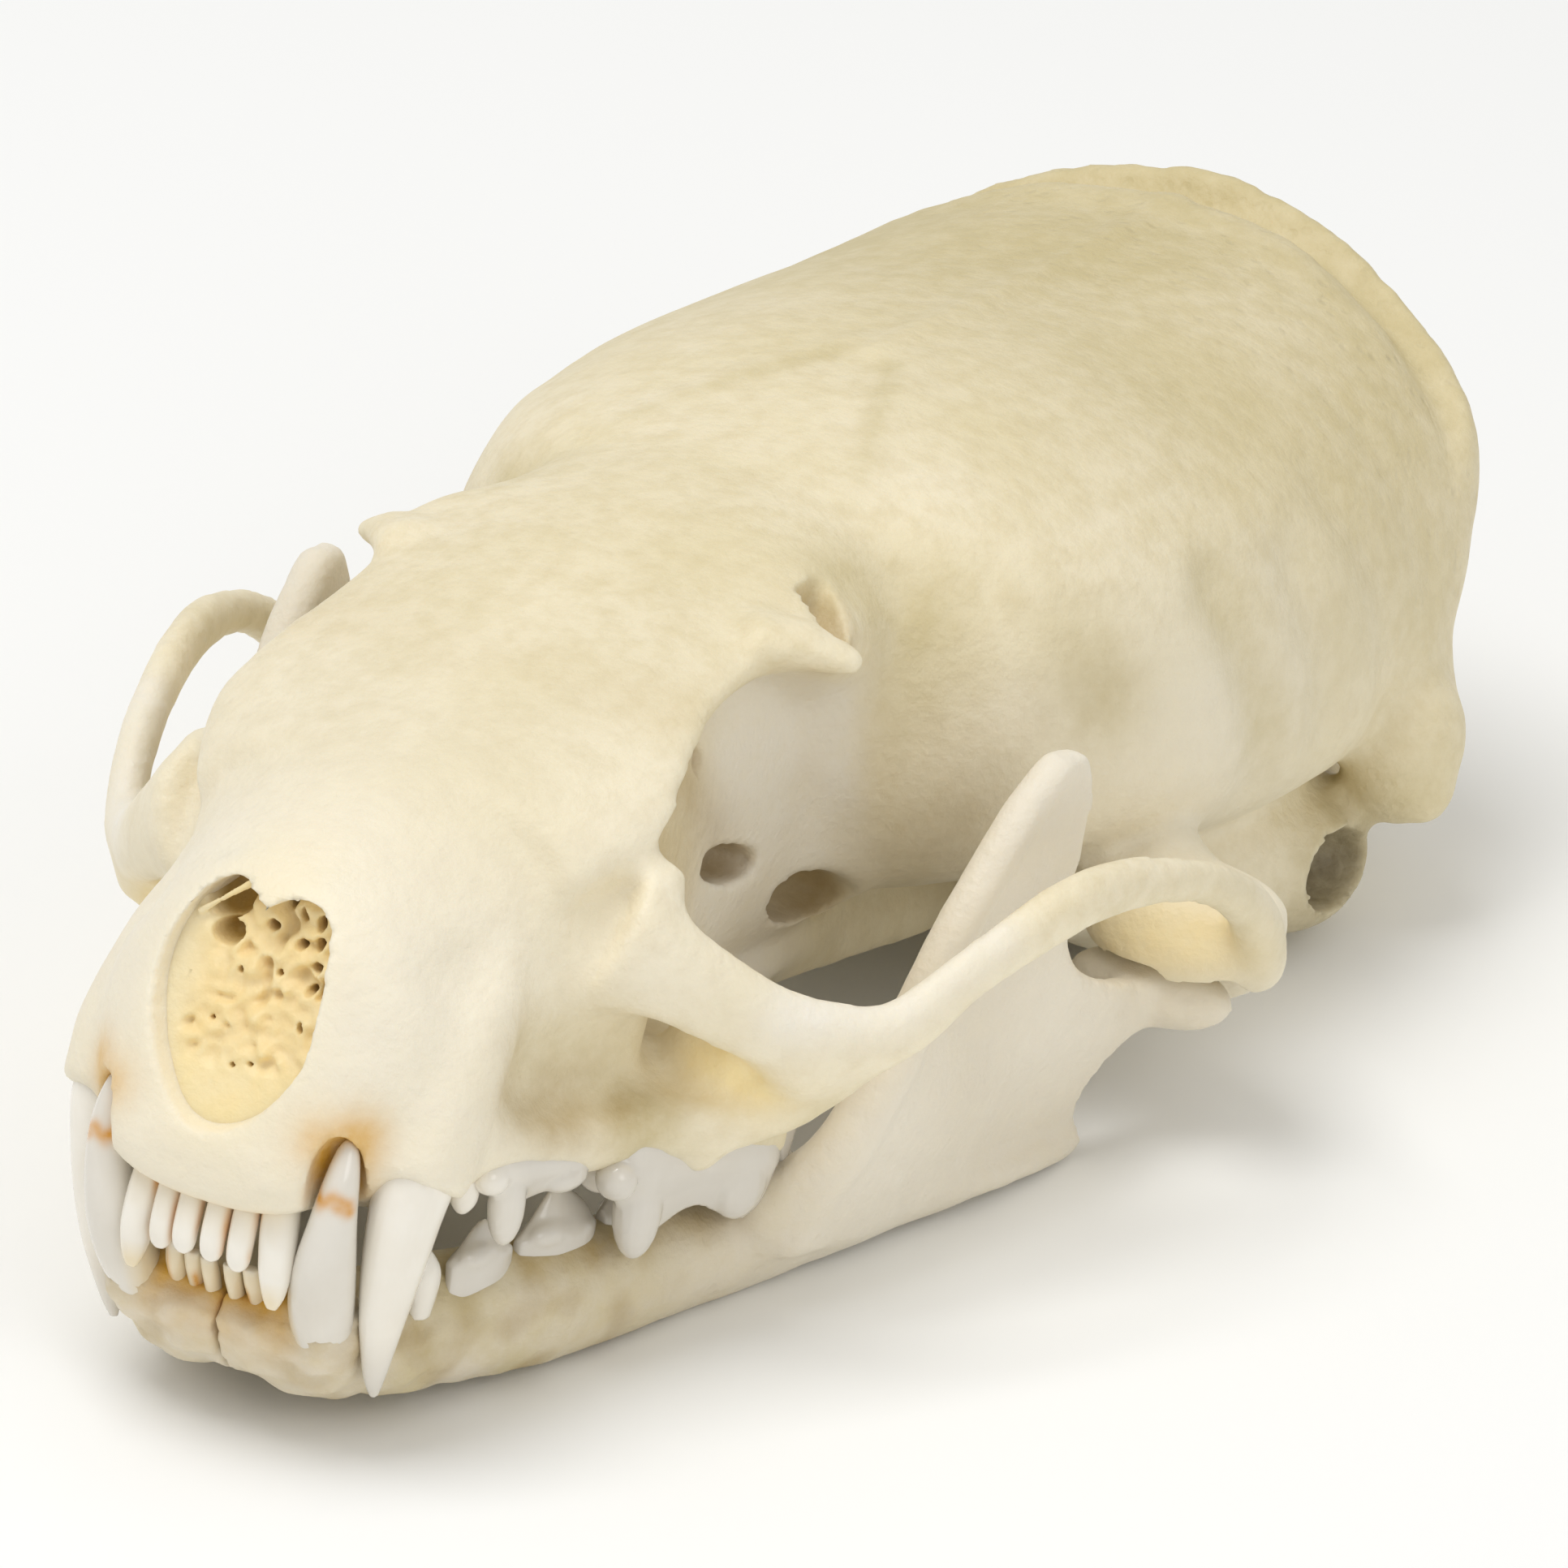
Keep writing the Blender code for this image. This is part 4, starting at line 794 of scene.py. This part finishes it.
def build_cranium():
    pieces = [body("part", rows) for rows in (ROSTRUM, FRONTAL_ROOF, ORBIT_WALL, BRAINCASE, PALATE)]
    for rows in CRANIUM_RUNS.values():
        pieces += both_sides("run", lambda name, rows=rows: tube(name, rows))
    for shape in CRANIUM_LUMPS.values():
        pieces += both_sides("lump", lambda name, shape=shape: lump(name, *shape))
    cranium = join("cranium_bone", pieces)
    melt(cranium, CRANIUM_GRAIN[0], 3)

    for tools in (cranium_hollows(), *jaw_joint_hollows()):
        carve(cranium, tools)
    for edge, way, outward, inward, sides in SHARP_HOLES.values():
        tools = [loft("hole", [[(side * (x + way[0] * depth), y + way[1] * depth, z + way[2] * depth)
                                for x, y, z in edge] for depth in (outward, inward)]) for side in sides]
        carve(cranium, tools)
    melt(cranium, CRANIUM_GRAIN[1], 2)
    left = both_halves(positions(cranium))
    even_out(cranium, near(left, CREST_FOOT, 1.3), 40)
    even_out(cranium, near(left, ORBIT_BACK, 1.5), 40)

    co, out = positions(cranium), normals(cranium)
    raised = 0.09 * waves(co, 4.0) + 0.02 * waves(co, 1.3, 7.0)
    raised += 0.035 * ramp(co[:, 1], 32, 42) * waves(co, (0.45, 1.1, 1.6), 3.0)
    raised = with_patches(raised, both_halves(co), CRANIUM_RELIEF)
    raised = with_patches(raised, co, ONE_SIDE_RELIEF)
    set_positions(cranium, co + out * raised[:, None])
    return cranium


def branch_ring(size, side):
    """The outline of the jaw's branch, scaled about its middle, on the inner or the outer face."""
    outline = np.array(smooth_rows(BRANCH_OUTLINE + BRANCH_OUTLINE[:1], 3)[:-1])
    y, z = (np.array(BRANCH_MIDDLE) + (outline - BRANCH_MIDDLE) * size).T
    x0, y0, z0 = BRANCH_ORIGIN
    rise = z - z0
    x = x0 + BRANCH_LEAN_BACK * (y - y0) + np.where(rise > 0, BRANCH_LEAN_UP, BRANCH_LEAN_LOW) * rise
    return np.stack([x + side * BRANCH_THICKNESS / 2, y, z], axis=1)


def build_jaw():
    """The left half of the lower jaw."""
    pieces = [tube(name, rows) for name, rows in JAW_RUNS.items()]
    pieces.append(loft("branch", [branch_ring(size, side) for size, side in (
        (0.05, -1), (0.4, -1), (0.75, -1), (1.0, -1), (1.0, 1), (0.75, 1), (0.4, 1), (0.05, 1))]))
    pieces += [lump(name, *shape) for name, shape in JAW_LUMPS.items()]
    jaw = join("jaw_left", pieces)
    melt(jaw, JAW_GRAIN[0], 3)
    # A box takes away what reaches past the middle, where the other half begins
    bpy.ops.mesh.primitive_cube_add(size=1, location=(-4.98, 5, -4), scale=(10, 16, 12))
    carve(jaw, [bpy.context.object])
    melt(jaw, JAW_GRAIN[1], 2)
    co, out = positions(jaw), normals(jaw)
    raised = 0.03 * waves(co, 2.0) + 0.02 * waves(co, 0.8, 5.0)
    raised += 0.08 * ramp(co[:, 1], 13, 6) * waves(co, (0.6, 0.9, 0.6), 8.0)
    raised += 0.12 * ramp(co[:, 1], 6.5, 4.5) * waves(co, (0.8, 0.5, 0.35), 11.0)
    for path, width, height in JAW_RELIEF:
        raised += height * near(co, path, width) * ramp(out[:, 0], 0.0, 0.5)
    co += out * raised[:, None]
    co[:, 0] = np.maximum(co[:, 0], CHIN_GAP / 2)
    set_positions(jaw, co)
    return jaw


def peg_tooth(name, rows):
    """A tooth like a cone: level ovals from the root to the tip."""
    turn = np.arange(24) * math.tau / 24
    rings = []
    for x, y, z, half_length, half_width in smooth_rows(rows, 6):
        rings.append(np.stack([x + half_width * np.cos(turn), y + half_length * np.sin(turn),
                               np.full(24, z)], axis=1))
    return loft(name, rings)


def blade_tooth(name, front_gum, slope, root, rows):
    """A tooth like a blade: upright sections from one end to the other, widest at the gum."""
    along = (Vector(rows[-1][:2]) - Vector(rows[0][:2])).normalized()
    across = Vector((along.y, -along.x))
    rings = []
    for x, y, half_width, crest in smooth_rows(rows, 4):
        gum = front_gum + slope * (y - rows[0][1])
        foot = gum - root * math.copysign(1, crest - gum)
        outline = [(-0.55, foot), (-1.0, gum), (-0.62, (gum + crest) / 2), (-0.14, crest), (0.14, crest),
                   (0.62, (gum + crest) / 2), (1.0, gum), (0.55, foot), (-0.55, foot)]
        outline = smooth_rows(outline, 3)[:-1]
        rings.append([(x + across.x * half_width * s, y + across.y * half_width * s, z) for s, z in outline])
    return loft(name, rings)


def build_tooth(name, shape):
    if isinstance(shape, list):
        pieces = [peg_tooth("tooth", shape)]
    else:
        gum, slope, root, rows, beads = shape
        pieces = [blade_tooth("tooth", gum, slope, root, rows)]
        pieces += [lump("bead", centre, half_sizes, 0, 16, 10) for centre, half_sizes in beads]
    tooth = join(name + "_enamel_left", pieces)
    melt(tooth, TOOTH_GRAIN, 2)
    return tooth


def finish(piece, material, body_name, node):
    """Puts a piece made in the skull's frame in its place, with its finish and its CAD body."""
    piece.data.transform(TO_WORLD)
    co = positions(piece)
    co[:, 2] = np.maximum(co[:, 2], 0)
    set_positions(piece, co)
    piece.data.materials.clear()
    piece.data.materials.append(material)
    only(piece)
    bpy.ops.object.shade_smooth()
    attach(piece, body_name)
    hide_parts(node)


def mark_jaw(jaw):
    """Where the jaw is brown (painted shade in its creases and at the gum line, and mottled), paler at the
    back as painted light, stained amber at the front teeth, yellowed and painted darker at the front as
    shade, and pitted.
    """
    co = positions(jaw)
    y = co[:, 1]
    # Painted shade along the gum line, where the teeth meet the bone
    gum_line = near(co, [(4.4, 8.0, -3.0), (5.6, 11.2, -2.9), (6.4, 14.0, -3.0)], 0.5)
    # Painted shade in the jaw's creases, as strong as the skin is hollow
    crease_shade = ramp(hollowness(jaw, 6), 0.9, 3.5)
    # Brown: painted shade in creases and along the gum line, and mottled patches towards the front
    mark(jaw, "hollow", 0.6 * crease_shade + 0.45 * gum_line
         + 0.45 * ramp(y, 15, 10) * ramp(waves(co, 1.1, 6.0), 0.0, 0.6))
    # Paler towards the back: painted light on the lit branch of the jaw
    mark(jaw, "pale", (0.6 + 0.3 * waves(co, 4.0)) * ramp(y, 10, 16))
    mark(jaw, "stain", 0.9 * near(co, [(0.1, 2.2, -2.9), (1.4, 2.3, -2.9), (2.3, 2.9, -3.4)], 0.5)
         + 0.4 * near(co, [(0.1, 2.2, -3.6), (1.6, 2.3, -3.6)], 0.6))
    # Yellowed, and painted darker towards the front of the jaw as shade
    mark(jaw, "age_and_shade", ramp(y, 15, 9) * ramp(y, 2.0, 5.5) * (0.4 + 0.5 * waves(co, 1.5, 3.0)))
    mark(jaw, "rough", near(co, [(1, 3, -4.5), (6, 15, -4)], 1.8))


def mark_cranium(cranium):
    """Where the cranium is brown as painted shade in its hollows, yellowed and partly painted shade, pale and
    painted with highlights and light, tan as painted shade in the orbit, yellow as painted light glowing
    through thin bone, stained, painted nearly black inside its holes, and pitted.
    """
    co = positions(cranium)
    left = both_halves(co)
    x, y, z = left.T
    back = ramp(y, 22, 38)
    in_orbit = ramp(x, 5.4, 4.8) * ramp(y, 10.5, 12) * ramp(y, 23.5, 20) * ramp(z, 10.0, 8.6)
    # A painted highlight band along the braincase's side
    temple_highlight = np.exp(-((y - 29) / 7) ** 2) * ramp(z, 10.5, 7) * ramp(x, 4, 6)
    canal = near(left, INFRAORBITAL, INFRAORBITAL_WIDTH)
    # A painted shadow under the canine's ridge
    ridge_shadow = near(left, CANINE_RIDGE_SHADOW, CANINE_RIDGE_SHADOW_WIDTH) * (0.6 + 0.7 * waves(co, 0.9, 5.0))
    # Painted shade inside the orbital fissure and the optic foramen
    inside = np.maximum(near(left, INSIDE_FISSURE, FISSURE_WIDTH), near(left, INSIDE_FORAMEN, FORAMEN_WIDTH))
    inside *= ramp(x, 4.1, 3.7)
    # Painted shade in the creases, as strong as the skin is hollow
    crease_shade = ramp(hollowness(cranium, 6), 0.9, 3.5)
    # All painted shade, in brown: the creases, the shadow under the canine's ridge, inside the foramina,
    # inside the foramen magnum and inside the broken opening
    brown = (0.7 * crease_shade * (1 - canal) + 0.5 * ridge_shadow + 0.8 * inside
             + 0.7 * near(co, [(0, 44.8, 4.1)], 2.2) * ramp(y, 46.6, 45.6)
             + 0.6 * near(co, BROKEN_WALL, BROKEN_WALL_WIDTH))
    mark(cranium, "hollow", with_patches(brown, left, SHADE_PATCHES))
    # Yellowed towards the back and on top, and with its patches also painted shade in grooves and under the
    # arch
    aged_and_shade = back * (0.4 + 0.45 * ramp(z, 5, 12)) + 0.35 * waves(co, 5.0, 3.0) * back
    mark(cranium, "age_and_shade", with_patches(aged_and_shade, left, AGED_AND_SHADE_PATCHES))
    # Paler: painted highlights on the arch's top and the braincase's side, painted light on the orbit's back
    # wall, and a paler snout
    mark(cranium, "pale", 0.8 * near(left, ARCH_TOP_HIGHLIGHT, ARCH_TOP_HIGHLIGHT_WIDTH) + ramp(y, 14, 3) * 0.6
         + in_orbit * ramp(y, 13, 16) + 0.6 * temple_highlight)
    # Tan, strongest in the orbit's front under its rim: painted shade
    mark(cranium, "orbit", in_orbit * ramp(y, 15.5, 12.0) * 0.8 + 0.3 * waves(co, 1.6) * in_orbit)
    # Yellower where the bone is thin, as painted light glowing through it
    mark(cranium, "thin", 1.1 * canal + 0.35 * near(co, NOSE_INSIDE, NOSE_INSIDE_WIDTH)
         + 0.7 * near(left, JAW_SOCKET, JAW_SOCKET_WIDTH) * ramp(y, 26.6, 26.2))
    mark(cranium, "stain", 0.95 * near(left, CANINE_STAIN, CANINE_STAIN_WIDTH)
         + 0.25 * near(co, [(-1.7, 0.9, -0.5), (1.7, 0.9, -0.5)], 0.3))
    # Painted shade: nearly black inside the foramen magnum and the ear opening, and a little beside the
    # canines
    mark(cranium, "hole_shade", 0.6 * near(co, [(0, 44.0, 4.1)], 1.5)
         + 0.9 * near(left, EAR_INSIDE, EAR_INSIDE_WIDTH)
         + 0.15 * near(left, [(2.3, 2.6, -0.8), (2.6, 2.8, 0.2)], 0.5))
    mark(cranium, "rough", ramp(y, 34, 42))


def mark_tooth(tooth, name):
    """Where a tooth is greyer (painted shade on the cheek teeth, and the canines too), yellow at its root and
    stained amber.
    """
    co = positions(tooth)
    x, y, z = co.T
    grey_tip = {"upper_canine": 0.5 * ramp(z, -3.2, -4.8), "lower_canine": 0.35}.get(name, 0.0)
    # Greyer behind the front teeth, as painted shade on the cheek teeth
    mark(tooth, "grey_and_shade", 0.5 * ramp(y, 4.5, 6.0) + grey_tip)
    front = ramp(y, 3.0, 2.2) * ramp(x, 2.3, 1.9)
    mark(tooth, "root", 0.35 * ramp(z, -1.3, -0.4) * front + 0.6 * front * ramp(z, -2.0, -2.5))
    beside = np.min([np.abs(x - gap) for gap in (0.0, 0.68, 1.37)], axis=0)
    gaps = np.exp(-(beside / 0.07) ** 2) * front * ramp(waves(co, 0.7, 2.0), -0.4, 0.3)
    stain = 0.85 * gaps + 0.5 * near(co, [(0.3, 1.0, -2.05), (0.9, 1.1, -2.1)], 0.16) * front
    if name == "lower_canine":
        ring = near(co, [(2.5, 1.3, 0.35), (2.85, 1.15, 0.1), (3.1, 1.15, 0.2), (3.5, 1.5, 0.0)], 0.2)
        stain += ring * (0.95 + 0.6 * waves(co, 0.25))
    mark(tooth, "stain", stain)


def build_teeth(shapes, body_name, enamel):
    for name, shape in shapes.items():
        tooth = build_tooth(name, shape)
        mark_tooth(tooth, name)
        other = mirror_copy(tooth, name + "_enamel_right")
        finish(tooth, enamel, body_name, name + "_left")
        finish(other, enamel, body_name, name + "_right")


def build_all():
    skull_bone = bone_material("skull_bone", "F3E8CC", "EADDB8", 0.42)
    jaw_bone = bone_material("jaw_bone", "E6DCC8", "D9CDB4", 0.45)
    enamel = enamel_material()
    cranium = build_cranium()
    mark_cranium(cranium)
    cranium = join("cranium_bone", [cranium, build_nose_fill()])
    thin_out(cranium, CRANIUM_SHARE)
    finish(cranium, skull_bone, "cranium", "cranium")
    jaw = build_jaw()
    mark_jaw(jaw)
    right = mirror_copy(jaw, "jaw_right")
    finish(jaw, jaw_bone, "mandible", "mandible_left")
    finish(right, jaw_bone, "mandible", "mandible_right")
    build_teeth({**UPPER_PEGS, **UPPER_BLADES}, "cranium", enamel)
    build_teeth({**LOWER_PEGS, **LOWER_BLADES}, "mandible", enamel)


def lay_floor():
    """A plain pale floor, as matt as paper."""
    bpy.ops.mesh.primitive_plane_add(size=FLOOR_SIZE, location=(0, 0, 0))
    floor = bpy.context.object
    floor.name = "floor"
    paper = bpy.data.materials.new("floor_paper")
    paper.use_nodes = True
    shader = paper.node_tree.nodes["Principled BSDF"]
    shader.inputs["Base Color"].default_value = linear("FBFBF9")
    shader.inputs["Roughness"].default_value = 0.9
    floor.data.materials.append(paper)


def set_lights():
    """A white room and two soft lamps."""
    world = bpy.data.worlds.new("studio")
    bpy.context.scene.world = world
    world.use_nodes = True
    world.node_tree.nodes["Background"].inputs["Color"].default_value = (1, 1, 1, 1)
    world.node_tree.nodes["Background"].inputs["Strength"].default_value = ROOM_LIGHT
    bpy.context.scene.view_settings.view_transform = "Standard"
    for name, (place, size, power) in LAMPS.items():
        light = bpy.data.lights.new(name, "AREA")
        light.shape = "SQUARE"
        light.size = size
        light.energy = power
        lamp = bpy.data.objects.new(name, light)
        bpy.context.scene.collection.objects.link(lamp)
        lamp.location = place
        lamp.rotation_euler = (Vector(LAMP_AIM) - Vector(place)).to_track_quat("-Z", "Y").to_euler()


def set_camera():
    """A camera where the photograph was taken from."""
    azimuth, elevation, roll = map(math.radians, (CAMERA_AZIMUTH, CAMERA_ELEVATION, CAMERA_ROLL))
    back = Vector((math.sin(azimuth) * math.cos(elevation), -math.cos(azimuth) * math.cos(elevation),
                   math.sin(elevation)))
    level = Vector((math.cos(azimuth), math.sin(azimuth), 0))
    upright = back.cross(level)
    right = math.cos(roll) * level + math.sin(roll) * upright
    up = -math.sin(roll) * level + math.cos(roll) * upright
    turned = Matrix((right, up, back)).transposed().to_4x4()
    spot = Matrix.Translation(Vector(CAMERA_AIM) + back * CAMERA_DISTANCE) @ turned
    place, turn, _ = (TO_WORLD @ spot).decompose()
    lens = bpy.data.cameras.new("camera")
    camera = bpy.data.objects.new("camera", lens)
    bpy.context.scene.collection.objects.link(camera)
    camera.matrix_world = Matrix.LocRotScale(place, turn, (1, 1, 1))
    lens.sensor_width = FILM
    lens.lens = FOCUS_PIXELS / PHOTO_PIXELS * FILM
    lens.clip_start = 0.01
    bpy.context.scene.camera = camera


build_all()
lay_floor()
set_lights()
set_camera()
